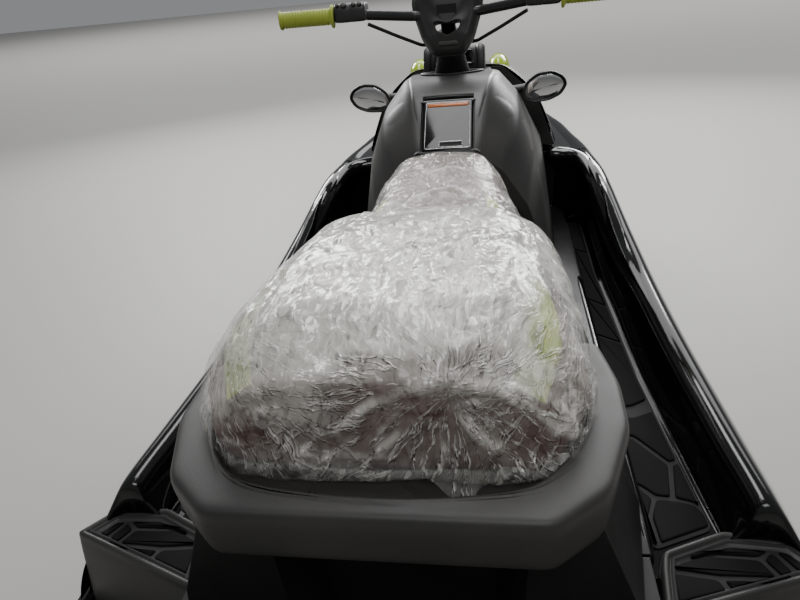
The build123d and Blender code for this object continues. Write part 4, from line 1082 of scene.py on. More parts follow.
def front_roll(side, sign):
    path = [(sign * x, y, z) for x, y, z in FRONT_ROLL]
    rings = tube(path, lambda k: FRONT_ROLL_RADIUS * (0.6 if k == 0 else 1.0))
    return mesh_piece("front_roll_" + side, *skin(rings), "gelcoat_black", level=2)


# y, roll crest x, roll crest z, roll radius, shoulder x, shoulder z, flange x, flange z
BOW_DECK = [
    (0.330, 0.344, 0.434, 0.028, 0.431, 0.290, 0.505, 0.137),
    (0.520, 0.320, 0.434, 0.024, 0.409, 0.305, 0.493, 0.147),
    (0.750, 0.284, 0.433, 0.020, 0.383, 0.323, 0.478, 0.162),
    (1.200, 0.200, 0.407, 0.018, 0.295, 0.339, 0.394, 0.216),
    (1.400, 0.149, 0.390, 0.016, 0.234, 0.343, 0.318, 0.248),
    (1.530, 0.112, 0.375, 0.014, 0.184, 0.341, 0.248, 0.270),
    (1.570, 0.100, 0.370, 0.013, 0.166, 0.340, 0.226, 0.277),
]
BOW_DECK_STEPS = 22
BULGE = 0.006


def bow_deck(side, sign):
    """The same roll, shoulder and flange carried on beside the hood to the bow bumper."""
    first, last = BOW_DECK[0][0], BOW_DECK[-1][0]
    places = [first + (last - first) * k / (BOW_DECK_STEPS - 1) for k in range(BOW_DECK_STEPS)]
    rings = []
    for y, cx, cz, r, sx, sz, gx, gz in smooth_rows(BOW_DECK, places):
        half = [
            (cx - 1.25 * r, cz - 0.45 * r), (cx - 0.80 * r, cz - 0.20 * r), (cx - 0.42 * r, cz - 0.02 * r),
            (cx + 0.10 * r, cz + 0.08 * r), (cx + 0.62 * r, cz - 0.16 * r), (cx + 1.05 * r, cz - 0.72 * r),
            ((cx + 1.15 * r + sx) / 2 + BULGE / 2, (cz - 0.75 * r + sz) / 2), (sx, sz + 0.002),
            (sx + 0.006, sz - 0.010), ((sx + gx) / 2 + BULGE, (sz + gz) / 2), (gx, gz),
        ]
        rings.append([(sign * x, y, z) for x, z in half])
    rings.append([(x * 0.95, y + 0.010, z - 0.012) for x, y, z in rings[-1]])
    return mesh_piece("bow_deck_" + side, *skin(rings, closed=False, caps=False), "gelcoat_black", level=2)


side_decks = [side_deck(1), side_deck(-1)]
for side, sign in (("right", 1), ("left", -1)):
    front_roll(side, sign)
    bow_deck(side, sign)

# %% [markdown]
# ## Hood
# The hood is one long satin panel with a soft ridge at its waist and another along its top. The
# skin lies a few millimetres over the CAD hood and lifts with it, and the CAD shows inside it.

# %% Hood skin
# y, base half width, waist half width, waist z, top half width, top z
HOOD = [
    (0.338, 0.266, 0.214, 0.590, 0.122, 0.672),
    (0.600, 0.272, 0.210, 0.566, 0.112, 0.640),
    (1.000, 0.222, 0.166, 0.506, 0.084, 0.560),
    (1.300, 0.158, 0.112, 0.448, 0.054, 0.486),
    (1.440, 0.104, 0.072, 0.414, 0.034, 0.436),
]
HOOD_SEAT_Z = (0.449, 0.387)
HOOD_STEPS = 20
HOOD_END = (0.007, 0.93, 0.014)


def hood_skin():
    first, last = HOOD[0][0], HOOD[-1][0]
    places = [first + (last - first) * k / (HOOD_STEPS - 1) for k in range(HOOD_STEPS)]
    rings = []
    for y, base, waist, waist_z, top, top_z in smooth_rows(HOOD, places):
        low = HOOD_SEAT_Z[0] + (HOOD_SEAT_Z[1] - HOOD_SEAT_Z[0]) * (y - first) / (last - first)
        half = [
            (0.0, top_z + 0.010), (top * 0.5, top_z + 0.009), (top - 0.010, top_z + 0.006),
            (top + 0.008, top_z + 0.001), ((top + waist) / 2 + 0.007, (top_z + waist_z) / 2 + 0.006),
            (waist - 0.004, waist_z + 0.010), (waist + 0.006, waist_z - 0.008),
            ((waist + base) / 2 + 0.008, (waist_z + low) / 2), (base + 0.003, low + 0.012), (base + 0.002, low + 0.003),
        ]
        rings.append([(-x, y, z) for x, z in reversed(half[1:])] + [(x, y, z) for x, z in half])
    ahead, narrower, drop = HOOD_END
    rings.append([(x * narrower, y + ahead, max(z - drop, HOOD_SEAT_Z[1])) for x, y, z in rings[-1]])
    return mesh_piece(
        "hood_skin", *skin(rings, closed=False, caps=False), "plastic_grey", body="storage_hood", level=2
    )


hood_piece = hood_skin()
print("hood skin", len(hood_piece.data.polygons), "cage faces")

# %% [markdown]
# ## Grab handle
# One thick moulding round the rear seat, with a raised lip and a shallow tray. It is a stack of
# outlines: each is the same rounded polygon, pulled in by an amount and set at a height.

# %% Outline helpers
def mirrored(half):
    """Closed outline from a right-hand half whose ends lie on the centreline."""
    return half + [(-x, y) for x, y in reversed(half) if x > 1e-6]


def round_corners(outline, radius, steps=5):
    """Polygon with each corner replaced by a short curve that starts a radius before it."""
    result = []
    count = len(outline)
    for k in range(count):
        here = Vector(outline[k])
        before = Vector(outline[k - 1]) - here
        after = Vector(outline[(k + 1) % count]) - here
        turn = before.angle(after)
        if turn > math.radians(178):
            result.append(tuple(here))
            continue
        reach = min(radius, before.length * 0.45, after.length * 0.45)
        start, end = here + before.normalized() * reach, here + after.normalized() * reach
        for s in range(steps):
            t = s / (steps - 1)
            result.append(tuple((1 - t) ** 2 * start + 2 * t * (1 - t) * here + t**2 * end))
    return result


def inset(outline, amount):
    """Outline moved inward by an amount, along the mean normal at each point."""
    area = sum(a[0] * b[1] - b[0] * a[1] for a, b in zip(outline, outline[1:] + outline[:1]))
    sign = 1 if area > 0 else -1
    result = []
    count = len(outline)
    for k in range(count):
        before = Vector(outline[k]) - Vector(outline[k - 1])
        after = Vector(outline[(k + 1) % count]) - Vector(outline[k])
        normal = Vector((-before.y, before.x)).normalized() + Vector((-after.y, after.x)).normalized()
        if normal.length < 1e-6:
            normal = Vector((-after.y, after.x))
        normal.normalize()
        result.append((outline[k][0] + sign * normal.x * amount, outline[k][1] + sign * normal.y * amount))
    return result


def stack(outline, levels):
    """Rings of one outline at (inset, height) levels."""
    return [[(x, y, z) for x, y in inset(outline, amount)] for amount, z in levels]


# %% Grab handle
TAIL_OUTLINE = [(0, -1.130), (0.156, -1.130), (0.206, -1.086), (0.235, -1.000), (0.237, -0.930), (0.224, -0.850), (0, -0.850)]
TRAY_OUTLINE = [(0, -1.112), (0.120, -1.102), (0.158, -1.078), (0.190, -1.022), (0.206, -0.960), (0.205, -0.862), (0, -0.862)]
TAIL_LEVELS = [
    (0.050, 0.4786), (0.030, 0.4740), (0.016, 0.4680), (0.009, 0.4668), (0.0055, 0.4700), (0.0035, 0.4800), (0.0, 0.5120),
    (0.0, 0.5200), (0.0010, 0.5262), (0.0040, 0.5298), (0.0100, 0.5310),
]
TRAY_LEVELS = [(-0.006, 0.5312), (-0.0035, 0.5330), (0.0, 0.5325), (0.003, 0.529), (0.006, 0.513), (0.011, 0.5068), (0.03, 0.5063)]


def grab_handle():
    outer = round_corners(mirrored(TAIL_OUTLINE), 0.014)
    inner = round_corners(mirrored(TRAY_OUTLINE), 0.016)
    rings = stack(outer, TAIL_LEVELS) + stack(inner, TRAY_LEVELS)
    points, faces = skin(rings)
    piece = mesh_piece("grab_handle_moulding", points, faces, "plastic_grey", level=2)
    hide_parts("grab_handle")
    return piece


tail = grab_handle()
print("grab handle", len(tail.data.polygons), "cage faces")

# %% [markdown]
# ## Traction mats
# Closed-cell foam mats lie in the footwells, on the stern corners and on the platform. Straight
# grooves cut them into angular fields, and a lighter border line runs just inside the edge. The
# grooves are real: each field is its own low tile with a bevelled rim, standing on a base sheet.

# %% Mat sheets, tiles and ribs
MAT_RISE = 0.0042
TILE_GAP = 0.0012
FINISH["mat_line"] = moulded(
    "mat_line", tone(0.030), tone(0.042), (0.7, 0.85), (1500.0, 0.3, 0.5), (0.001, 0.10), shine=0.15
)


def flip(points, sign):
    """Plan points for one side of the craft."""
    return [(sign * x, *rest) for x, *rest in points]


def mat_sheet(name, outline, low, high, slot="mat_black", finish="mat_line"):
    """Lighter sheet that shows between the tiles and along the border."""
    points, faces = skin(stack(round_corners(outline, 0.010, 4), [(0.0, low), (0.0, high - 0.0008), (0.0008, high)]))
    piece = mesh_piece(name, points, faces, slot)
    piece.data.materials[0] = FINISH[finish]
    return piece


def mat_tiles(name, fields, z, slot="mat_black", rise=MAT_RISE, gap=TILE_GAP):
    """One mesh of raised fields, each with a soft rim and tight round corners."""
    points, faces = [], []
    for field in fields:
        levels = [(gap, z - 0.001), (gap, z + rise * 0.7), (gap + 0.0009, z + rise * 0.95), (gap + 0.0026, z + rise)]
        some, more = skin(stack(round_corners(field, 0.005, 3), levels))
        faces += [tuple(i + len(points) for i in f) for f in more]
        points += some
    return mesh_piece(name, points, faces, slot)


# %% Footwell mats
FOOTWELL_MAT = [
    (0.300, 0.288), (0.330, 0.286), (0.342, 0.260), (0.340, -0.050), (0.358, -0.500), (0.390, -0.850),
    (0.308, -0.888), (0.300, -0.860),
]
FOOTWELL_Z = (0.224, 0.2268)
# Angular fields of the right mat from bow to stern. The left mat mirrors them.
FOOTWELL_FIELDS = [
    [(0.303, 0.284), (0.329, 0.282), (0.338, 0.258), (0.3365, 0.060), (0.303, 0.092)],
    [(0.303, 0.086), (0.3365, 0.054), (0.3365, -0.052), (0.3425, -0.228), (0.303, -0.190)],
    [(0.303, -0.196), (0.3428, -0.234), (0.3490, -0.380), (0.303, -0.346)],
    [(0.303, -0.352), (0.3495, -0.386), (0.3545, -0.500), (0.3605, -0.566), (0.330, -0.586), (0.303, -0.586)],
    [(0.303, -0.616), (0.330, -0.616), (0.3635, -0.598), (0.3745, -0.718), (0.362, -0.722), (0.321, -0.664), (0.303, -0.660)],
    [(0.303, -0.666), (0.318, -0.670), (0.360, -0.729), (0.349, -0.795), (0.328, -0.793), (0.315, -0.778), (0.303, -0.768)],
    [(0.366, -0.728), (0.3755, -0.725), (0.384, -0.812), (0.377, -0.803), (0.354, -0.796)],
    [(0.327, -0.800), (0.352, -0.802), (0.378, -0.809), (0.3855, -0.824), (0.3875, -0.846), (0.317, -0.879), (0.315, -0.832)],
    [(0.303, -0.775), (0.312, -0.784), (0.323, -0.799), (0.311, -0.831), (0.312, -0.880), (0.3095, -0.884), (0.303, -0.858)],
]


def footwell_mat(side, sign):
    sheet = mat_sheet("footwell_sheet_" + side, flip(FOOTWELL_MAT, sign), *FOOTWELL_Z)
    tiles = mat_tiles("footwell_tiles_" + side, [flip(f, sign) for f in FOOTWELL_FIELDS], FOOTWELL_Z[1] - 0.0004)
    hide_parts("footwell_mat_" + side)
    return sheet, tiles


for side, sign in (("right", 1), ("left", -1)):
    footwell_mat(side, sign)
print(len(FOOTWELL_FIELDS), "fields in each footwell mat")

# %% [markdown]
# ## Stern corners
# Each corner is a hollow-looking moulding with a faceted outer face, a rounded rim and a mat let
# into its top. A pale rib runs inside the rim, and grooves split the mat.

# %% Stern corner mouldings
CORNER_TOP = [(0.305, -0.930), (0.312, -0.900), (0.395, -0.862), (0.479, -0.868), (0.519, -0.918), (0.296, -0.999)]
CORNER_FOOT = [(0.305, -0.930), (0.312, -0.900), (0.395, -0.862), (0.479, -0.868), (0.522, -0.940), (0.296, -1.060)]
CORNER_Z = (0.1004, 0.238)
CORNER_RIM = [
    # inset, height over the top
    (0.0000, -0.0100), (0.0004, -0.0020), (0.0022, 0.0030), (0.0055, 0.0046), (0.0090, 0.0036), (0.0106, -0.0010),
    (0.0118, -0.0018), (0.0132, 0.0012), (0.0160, 0.0016), (0.0176, -0.0012), (0.0182, -0.0042),
]
CORNER_RIB = (9, 11)
CORNER_MAT = [(0.330, -0.914), (0.398, -0.884), (0.468, -0.889), (0.490, -0.916), (0.314, -0.979)]
CORNER_FIELDS = [
    [(0.347, -0.908), (0.398, -0.886), (0.444, -0.890), (0.430, -0.9005), (0.363, -0.899)],
    [(0.3225, -0.920), (0.343, -0.911), (0.361, -0.9025), (0.429, -0.905), (0.441, -0.9295), (0.374, -0.932), (0.318, -0.925)],
    [(0.434, -0.904), (0.4475, -0.892), (0.463, -0.921), (0.447, -0.928)],
    [(0.453, -0.8905), (0.4665, -0.8925), (0.483, -0.9145), (0.469, -0.9195)],
    [(0.3185, -0.931), (0.371, -0.9375), (0.3775, -0.9525), (0.3165, -0.974)],
    [(0.377, -0.9375), (0.441, -0.9355), (0.4555, -0.9285), (0.3835, -0.9515)],
]


def stern_corner(side, sign):
    span = CORNER_Z[1] - CORNER_Z[0]

    def at(z):
        share = (z - CORNER_Z[0]) / span
        blend = [(f[0] + (t[0] - f[0]) * share, f[1] + (t[1] - f[1]) * share) for f, t in zip(CORNER_FOOT, CORNER_TOP)]
        return round_corners(flip(blend, sign), 0.009, 4)

    rings = [[(x, y, z) for x, y in at(z)] for z in (CORNER_Z[0], CORNER_Z[0] + 0.004, CORNER_Z[1] - 0.012)]
    top = round_corners(flip(CORNER_TOP, sign), 0.009, 4)
    rings += stack(top, [(amount, CORNER_Z[1] + rise) for amount, rise in CORNER_RIM])
    points, faces = skin(rings)
    piece = mesh_piece("stern_moulding_" + side, points, faces, "plastic_grey", level=1)
    piece.data.materials.append(FINISH["mat_line"])
    for face in piece.data.polygons:
        if CORNER_RIB[0] <= face.index // len(top) <= CORNER_RIB[1] and len(face.vertices) == 4:
            face.material_index = 1
    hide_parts("stern_corner_" + side)
    sheet = mat_sheet("stern_sheet_" + side, flip(CORNER_MAT, sign), 0.2330, 0.2352)
    mat_tiles("stern_tiles_" + side, [flip(f, sign) for f in CORNER_FIELDS], 0.2350, rise=0.0036)
    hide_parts("stern_mat_" + side)
    return piece


for side, sign in (("right", 1), ("left", -1)):
    stern_corner(side, sign)

# %% Gloss rail along the foot of the pedestal
BASE_RAIL = [
    # y, inner x
    (-0.924, 0.291), (-0.912, 0.291), (-0.80, 0.290), (-0.64, 0.290), (-0.45, 0.289), (-0.25, 0.288), (-0.10, 0.287),
]
RAIL_SECTION = [(-0.006, -0.004), (0.011, -0.004), (0.0125, 0.010), (0.011, 0.024), (0.004, 0.033), (-0.006, 0.036)]
FOOTWELL_Z = 0.2325


def base_rail(side, sign):
    rings = []
    for k, (y, x) in enumerate(BASE_RAIL):
        shrink = 0.55 if k == 0 else 1.0
        rings.append([(sign * (x + a * shrink), y, FOOTWELL_Z + b * shrink) for a, b in RAIL_SECTION])
    return mesh_piece("base_rail_" + side, *skin(rings), "gelcoat_black", level=2)


for side, sign in (("right", 1), ("left", -1)):
    base_rail(side, sign)
print("base rails", len(BASE_RAIL), "sections")

# %% [markdown]
# ## Boarding platform
# The platform behind the pump cover carries one wide mat, cut by the same angular grooves.

# %% Platform mat
PLATFORM_MAT = [(0, -1.090), (0.300, -1.090), (0.420, -1.040), (0.462, -1.124), (0.404, -1.270), (0.326, -1.330), (0, -1.330)]
PLATFORM_Z = (0.126, 0.1288)
PLATFORM_FIELDS = [
    [(0.006, -1.096), (0.150, -1.096), (0.110, -1.170), (0.006, -1.170)],
    [(0.158, -1.096), (0.299, -1.096), (0.352, -1.074), (0.290, -1.190), (0.118, -1.174)],
    [(0.360, -1.071), (0.417, -1.047), (0.455, -1.124), (0.432, -1.180), (0.300, -1.186)],
    [(0.006, -1.177), (0.112, -1.177), (0.176, -1.240), (0.140, -1.324), (0.006, -1.324)],
    [(0.120, -1.181), (0.288, -1.197), (0.250, -1.324), (0.148, -1.324), (0.184, -1.240)],
    [(0.296, -1.193), (0.429, -1.187), (0.399, -1.266), (0.324, -1.324), (0.258, -1.324)],
]
platform_sheet = mat_sheet("platform_sheet", mirrored(PLATFORM_MAT), *PLATFORM_Z)
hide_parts("platform_mat")
platform_tiles = mat_tiles(
    "platform_tiles", [flip(f, sign) for sign in (1, -1) for f in PLATFORM_FIELDS], PLATFORM_Z[1] - 0.0004
)
print("platform tiles", len(platform_tiles.data.polygons), "faces")

# %% [markdown]
# ## Console
# The console is one broad moulding that narrows to the saddle. Its middle is a raised panel round
# the glovebox lid, and an oval recess takes the steering neck. The skin is made at full
# resolution first, and its openings are cut out of the fine mesh, so their edges stay smooth.

# %% Console skin
# y, base half width, waist half width, waist z, shoulder half width, shoulder z, top half width, top z
CONSOLE = [
    (-0.165, 0.238, 0.172, 0.450, 0.120, 0.530, 0.062, 0.574),
    (-0.070, 0.242, 0.188, 0.520, 0.150, 0.606, 0.084, 0.645),
    (0.000, 0.246, 0.198, 0.530, 0.158, 0.630, 0.098, 0.684),
    (0.060, 0.250, 0.206, 0.520, 0.156, 0.640, 0.108, 0.694),
    (0.150, 0.254, 0.216, 0.500, 0.158, 0.634, 0.112, 0.688),
    (0.328, 0.258, 0.226, 0.480, 0.160, 0.612, 0.100, 0.668),
]
CONSOLE_BASE_Z = 0.2628
CONSOLE_PLACES = [
    -0.1652, -0.1630, -0.150, -0.115, -0.085, -0.055, -0.0375, -0.030, 0.0, 0.035, 0.075, 0.120, 0.170, 0.230, 0.290,
    0.322, 0.3275,
]
LID_HALF, LID_REACH = 0.0595, (-0.1628, -0.0375)
NECK_AT, NECK_RADII = (0.0, 0.122), (0.072, 0.050)
PANEL_EDGE = 0.0035


def between(a, b, share):
    return (a[0] + (b[0] - a[0]) * share, a[1] + (b[1] - a[1]) * share)


def console_ring(row):
    y, base, waist, waist_z, shoulder, shoulder_z, top, top_z = row
    foot, hip = (base, CONSOLE_BASE_Z), (waist, waist_z)
    brow, crown = (shoulder, shoulder_z), (top, top_z)
    edge = max(LID_HALF + 0.006, top - 0.012)
    half = [
        foot, between(foot, hip, 0.04), between(foot, hip, 0.45), between(foot, hip, 0.86), between(hip, brow, 0.12),
        between(hip, brow, 0.5), between(hip, brow, 0.84), between(brow, crown, 0.14), between(brow, crown, 0.55),
        between(brow, crown, 0.90), (edge + 0.0075, top_z - 0.0005), (edge + 0.0045, top_z + 0.0005),
        (edge + 0.0015, top_z + PANEL_EDGE), (edge - 0.0020, top_z + PANEL_EDGE + 0.0010),
        (LID_HALF, top_z + PANEL_EDGE + 0.0010), (LID_HALF * 0.5, top_z + PANEL_EDGE + 0.0018), (0.0, top_z + PANEL_EDGE + 0.0020),
    ]
    ring = half + [(-x, z) for x, z in reversed(half[:-1])]
    return [(x, y, z) for x, z in ring]


def cut_faces(piece, gone):
    """Applies the modifiers, then deletes the faces whose centres a test picks."""
    points, faces = evaluated(piece)
    piece.modifiers.clear()
    middle = [sum((points[i] for i in f), Vector()) / len(f) for f in faces]
    kept = [f for f, at in zip(faces, middle) if not gone(at)]
    used = sorted({i for f in kept for i in f})
    number = {i: k for k, i in enumerate(used)}
    mesh = piece.data
    mesh.clear_geometry()
    mesh.from_pydata([points[i] for i in used], [], [tuple(number[i] for i in f) for f in kept])
    mesh.polygons.foreach_set("use_smooth", [True] * len(mesh.polygons))


def console_opening(at):
    if at.z < 0.55:
        return False
    over_lid = abs(at.x) < LID_HALF and LID_REACH[0] < at.y < LID_REACH[1]
    neck = ((at.x - NECK_AT[0]) / NECK_RADII[0]) ** 2 + ((at.y - NECK_AT[1]) / NECK_RADII[1]) ** 2
    return over_lid or neck < 1


rings = [console_ring(row) for row in smooth_rows(CONSOLE, CONSOLE_PLACES)]
console = mesh_piece("console_shell", *skin(rings, closed=False, caps=False), "plastic_grey", level=2)
cut_faces(console, console_opening)
FINISH["console_satin"] = moulded(
    "console_satin", tone(0.042, 0.02), tone(0.055, 0.04), (0.34, 0.46), (1100.0, 0.7, 0.20), (0.003, 0.15), shine=0.45
)
console.data.materials[0] = FINISH["console_satin"]
print("console shell", len(console.data.polygons), "faces")

# %% Neck collar, column boot and instruments
COLLAR = [
    # radius scale, z over the console top
    (1.12, -0.0010), (1.10, 0.0035), (1.05, 0.0058), (0.99, 0.0050), (0.95, 0.0010), (0.90, -0.0080), (0.80, -0.0150),
    (0.45, -0.0170),
]
BOOT = [
    # distance up the column, radius
    (-0.008, 0.048), (0.004, 0.047), (0.012, 0.042), (0.018, 0.0425), (0.026, 0.0385), (0.032, 0.039),
    (0.040, 0.0355), (0.046, 0.036), (0.060, 0.0335), (0.100, 0.0325), (0.110, 0.031), (0.112, 0.022),
]
COLUMN_FOOT, COLUMN_TILT = Vector((0, 0.128, 0.690)), math.radians(25)


def oval(centre, radii, z, steps=40):
    turns = [2 * math.pi * k / steps for k in range(steps)]
    return [(centre[0] + radii[0] * math.cos(t), centre[1] + radii[1] * math.sin(t), z) for t in turns]


def top_z_at(y):
    return smooth_rows(CONSOLE, [y])[0][7] + PANEL_EDGE


def neck_collar():
    rings = []
    for scale, rise in COLLAR:
        ring = oval(NECK_AT, (NECK_RADII[0] * scale, NECK_RADII[1] * scale), 0)
        rings.append([(x, y, top_z_at(y) + rise) for x, y, _ in ring])
    return mesh_piece("neck_collar", *skin(rings), "plastic_grey", level=1)


def column_boot():
    """Ribbed rubber boot along the tilted column."""
    up = Vector((0, -math.sin(COLUMN_TILT), math.cos(COLUMN_TILT)))
    side = Vector((1, 0, 0))
    ahead = up.cross(side)
    rings = []
    for reach, radius in BOOT:
        centre = COLUMN_FOOT + up * reach
        ring = []
        for k in range(28):
            t = 2 * math.pi * k / 28
            ring.append(centre + side * radius * math.cos(t) * 0.98 + ahead * radius * math.sin(t) * 0.90)
        rings.append(ring)
    return mesh_piece("column_boot", *skin(rings), "rubber_black", body="steering", level=1)


neck_collar()
column_boot()

# y, z of the pod's outline at its cheeks and at its sunken screen
POD_CHEEK = [(0.188, 0.668), (0.188, 0.694), (0.204, 0.730), (0.222, 0.747), (0.240, 0.749), (0.300, 0.716), (0.328, 0.690), (0.330, 0.668)]
POD_SCREEN = [(0.200, 0.668), (0.200, 0.694), (0.210, 0.716), (0.226, 0.741), (0.240, 0.744), (0.300, 0.714), (0.328, 0.690), (0.330, 0.668)]
POD_PLACES = [
    # x, share of the sunken screen
    (-0.079, 0.0), (-0.0775, 0.0), (-0.066, 0.0), (-0.0605, 0.0), (-0.0585, 1.0), (-0.050, 1.0), (0.0, 1.0),
    (0.050, 1.0), (0.0585, 1.0), (0.0605, 0.0), (0.066, 0.0), (0.0775, 0.0), (0.079, 0.0),
]


def instrument_pod():
    rings = []
    for x, share in POD_PLACES:
        pull = 0.90 if abs(x) > 0.078 else 1.0
        ring = [between(a, b, share) for a, b in zip(POD_CHEEK, POD_SCREEN)]
        rings.append([(x, 0.26 + (y - 0.26) * pull, 0.668 + (z - 0.668) * pull) for y, z in ring])
    pod = mesh_piece("instrument_cowl", *skin(rings), "plastic_black", level=2)
    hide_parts("instrument_pod")
    low, high = Vector((0, 0.2015, 0.700)), Vector((0, 0.222, 0.736))
    ahead = (high - low).normalized()
    normal = Vector((0, -ahead.z, ahead.y))
    outline = round_corners([(-0.052, 0.0), (0.052, 0.0), (0.048, 0.040), (-0.048, 0.040)], 0.008)
    rings = []
    for amount, rise in ((0.0, -0.001), (0.0, 0.0012), (0.0015, 0.0020), (0.0045, 0.0020), (0.0055, 0.0012), (0.02, 0.0012)):
        rings.append([low + Vector((x, 0, 0)) + ahead * t + normal * rise for x, t in inset(outline, amount)])
    return mesh_piece("instrument_screen", *skin(rings), "plastic_gloss")


instrument_pod()
print("instrument pod", len(POD_PLACES), "sections")

# %% [markdown]
# ## Glovebox lid
# The lid is piano black with a thin bright line round it, an amber strip at its upper edge and a
# finger latch at the lower one. Its dressing is laid out flat, then placed on the sloping lid.

# %% Glovebox lid dressing
LID_CENTRE, LID_SLOPE = Vector((0, -0.100, 0.622)), math.radians(36.3)
LID_SIZE = (0.112, 0.148)
FINISH["lid_piano"] = moulded(
    "lid_piano", tone(0.004), tone(0.006), (0.04, 0.10), (40.0, 0.0, 0.015), (0.0008, 0.02), shine=0.25
)
FINISH["trim_amber"] = moulded(
    "trim_amber", (0.55, 0.14, 0.03, 1), (0.68, 0.20, 0.05, 1), (0.16, 0.26), (300.0, 0.2, 0.05), (0.0008, 0.2)
)


def on_lid(x, t, rise):
    ahead = Vector((0, math.cos(LID_SLOPE), math.sin(LID_SLOPE)))
    normal = Vector((0, -math.sin(LID_SLOPE), math.cos(LID_SLOPE)))
    return LID_CENTRE + Vector((x, 0, 0)) + ahead * t + normal * rise


def box_outline(x0, x1, t0, t1, radius):
    return round_corners([(x0, t0), (x1, t0), (x1, t1), (x0, t1)], radius, 4)


def lid_plate(name, outline, levels, slot, finish=None, level=0):
    rings = [[on_lid(x, t, rise) for x, t in inset(outline, amount)] for amount, rise in levels]
    piece = mesh_piece(name, *skin(rings), slot, body="glovebox", level=level)
    if finish:
        piece.data.materials[0] = FINISH[finish]
    return piece


def lid_frame(name, outline, width, height, slot):
    """Thin rounded band that follows an outline on the lid."""
    profile = [(0.0, -0.0004), (0.0, height * 0.6), (width * 0.25, height), (width * 0.75, height), (width, height * 0.6), (width, -0.0004)]
    rings = [[on_lid(x, t, rise) for x, t in inset(outline, amount)] for amount, rise in profile]
    return mesh_piece(name, *skin(rings, caps=False), slot, body="glovebox")


half_w, half_l = LID_SIZE[0] / 2, LID_SIZE[1] / 2
lid_plate(
    "lid_gloss", box_outline(-half_w, half_w, -half_l, half_l - 0.006, 0.007),
    [(0.0, -0.003), (0.0, 0.0004), (0.0010, 0.0014), (0.0040, 0.0020), (0.0060, 0.0021)], "plastic_gloss", "lid_piano",
)
lid_frame("lid_bright_line", box_outline(-0.0495, 0.0495, -0.069, 0.060, 0.006), 0.0016, 0.0034, "stainless")
lid_plate(
    "lid_amber_strip", box_outline(-0.0455, 0.0455, 0.0485, 0.0575, 0.0030),
    [(0.0, 0.001), (0.0, 0.0030), (0.0012, 0.0040), (0.0030, 0.0044)], "plastic_gloss", "trim_amber",
)
lid_frame("latch_frame", box_outline(-0.018, 0.034, -0.066, -0.050, 0.0022), 0.0016, 0.0040, "stainless")
lid_plate(
    "latch_cup", box_outline(-0.0155, 0.0315, -0.0640, -0.0520, 0.0020),
    [(0.0, 0.0010), (0.0, 0.0030), (0.0012, 0.0034), (0.0022, 0.0026), (0.0050, 0.0024)], "rubber_black",
)
print("lid dressing done")

# %% [markdown]
# ## Handlebar
# The pad over the bar is a shield with a notch through it. Its front is broken into facets, as
# moulded covers are. Grips, flanges and switch housings are turned or stacked along the bar.

# %% Bar pad
PAD_CENTRE, PAD_TILT, PAD_HALF = Vector((0, 0.062, 0.822)), math.radians(76), 0.028
PAD = [(0, -0.080), (0.034, -0.080), (0.060, -0.044), (0.080, 0.020), (0.082, 0.044), (0.074, 0.066), (0.056, 0.077), (0, 0.077)]
NOTCH = [(0.031, -0.010), (0.018, -0.0075), (0, -0.014), (-0.018, -0.0075), (-0.031, -0.010), (-0.024, -0.026), (0, -0.038), (0.024, -0.026)]
NOTCH_MIDDLE = (0.0, -0.020)
PAD_TURNS = 72


def on_pad(x, t, rise):
    """Place on the pad: x across, t up its face, rise toward the rider."""
    up = Vector((0, math.cos(PAD_TILT), math.sin(PAD_TILT)))
    out = Vector((0, -math.sin(PAD_TILT), math.cos(PAD_TILT)))
    return PAD_CENTRE + Vector((x, 0, 0)) + up * t + out * rise


def reach_of(outline, middle, turn):
    """Distance from a middle point to an outline in one direction."""
    ray = Vector((math.cos(turn), math.sin(turn)))
    best = 0.0
    for a, b in zip(outline, outline[1:] + outline[:1]):
        a, b = Vector(a) - Vector(middle), Vector(b) - Vector(middle)
        edge = b - a
        cross = ray.x * edge.y - ray.y * edge.x
        if abs(cross) < 1e-12:
            continue
        far = (a.x * edge.y - a.y * edge.x) / cross
        share = (a.x * ray.y - a.y * ray.x) / cross
        if far > 0 and -1e-6 <= share <= 1 + 1e-6:
            best = max(best, far)
    return best


def shield_ring(outline, scale, rise, level_of=None):
    ring = []
    for k in range(PAD_TURNS):
        turn = 2 * math.pi * k / PAD_TURNS
        far = reach_of(outline, NOTCH_MIDDLE, turn) * scale
        x, t = NOTCH_MIDDLE[0] + far * math.cos(turn), NOTCH_MIDDLE[1] + far * math.sin(turn)
        ring.append(on_pad(x, t, rise + (level_of(x, t) if level_of else 0)))
    return ring


def pad_facet(x, t):
    """The face stands proud in the middle and falls away to two wings and to the top."""
    wing = max(0.0, abs(x) - 0.036) * 0.42
    brow = max(0.0, t - 0.048) * 0.75
    chin = max(0.0, -0.040 - t) * 0.5
    return -wing - brow - chin


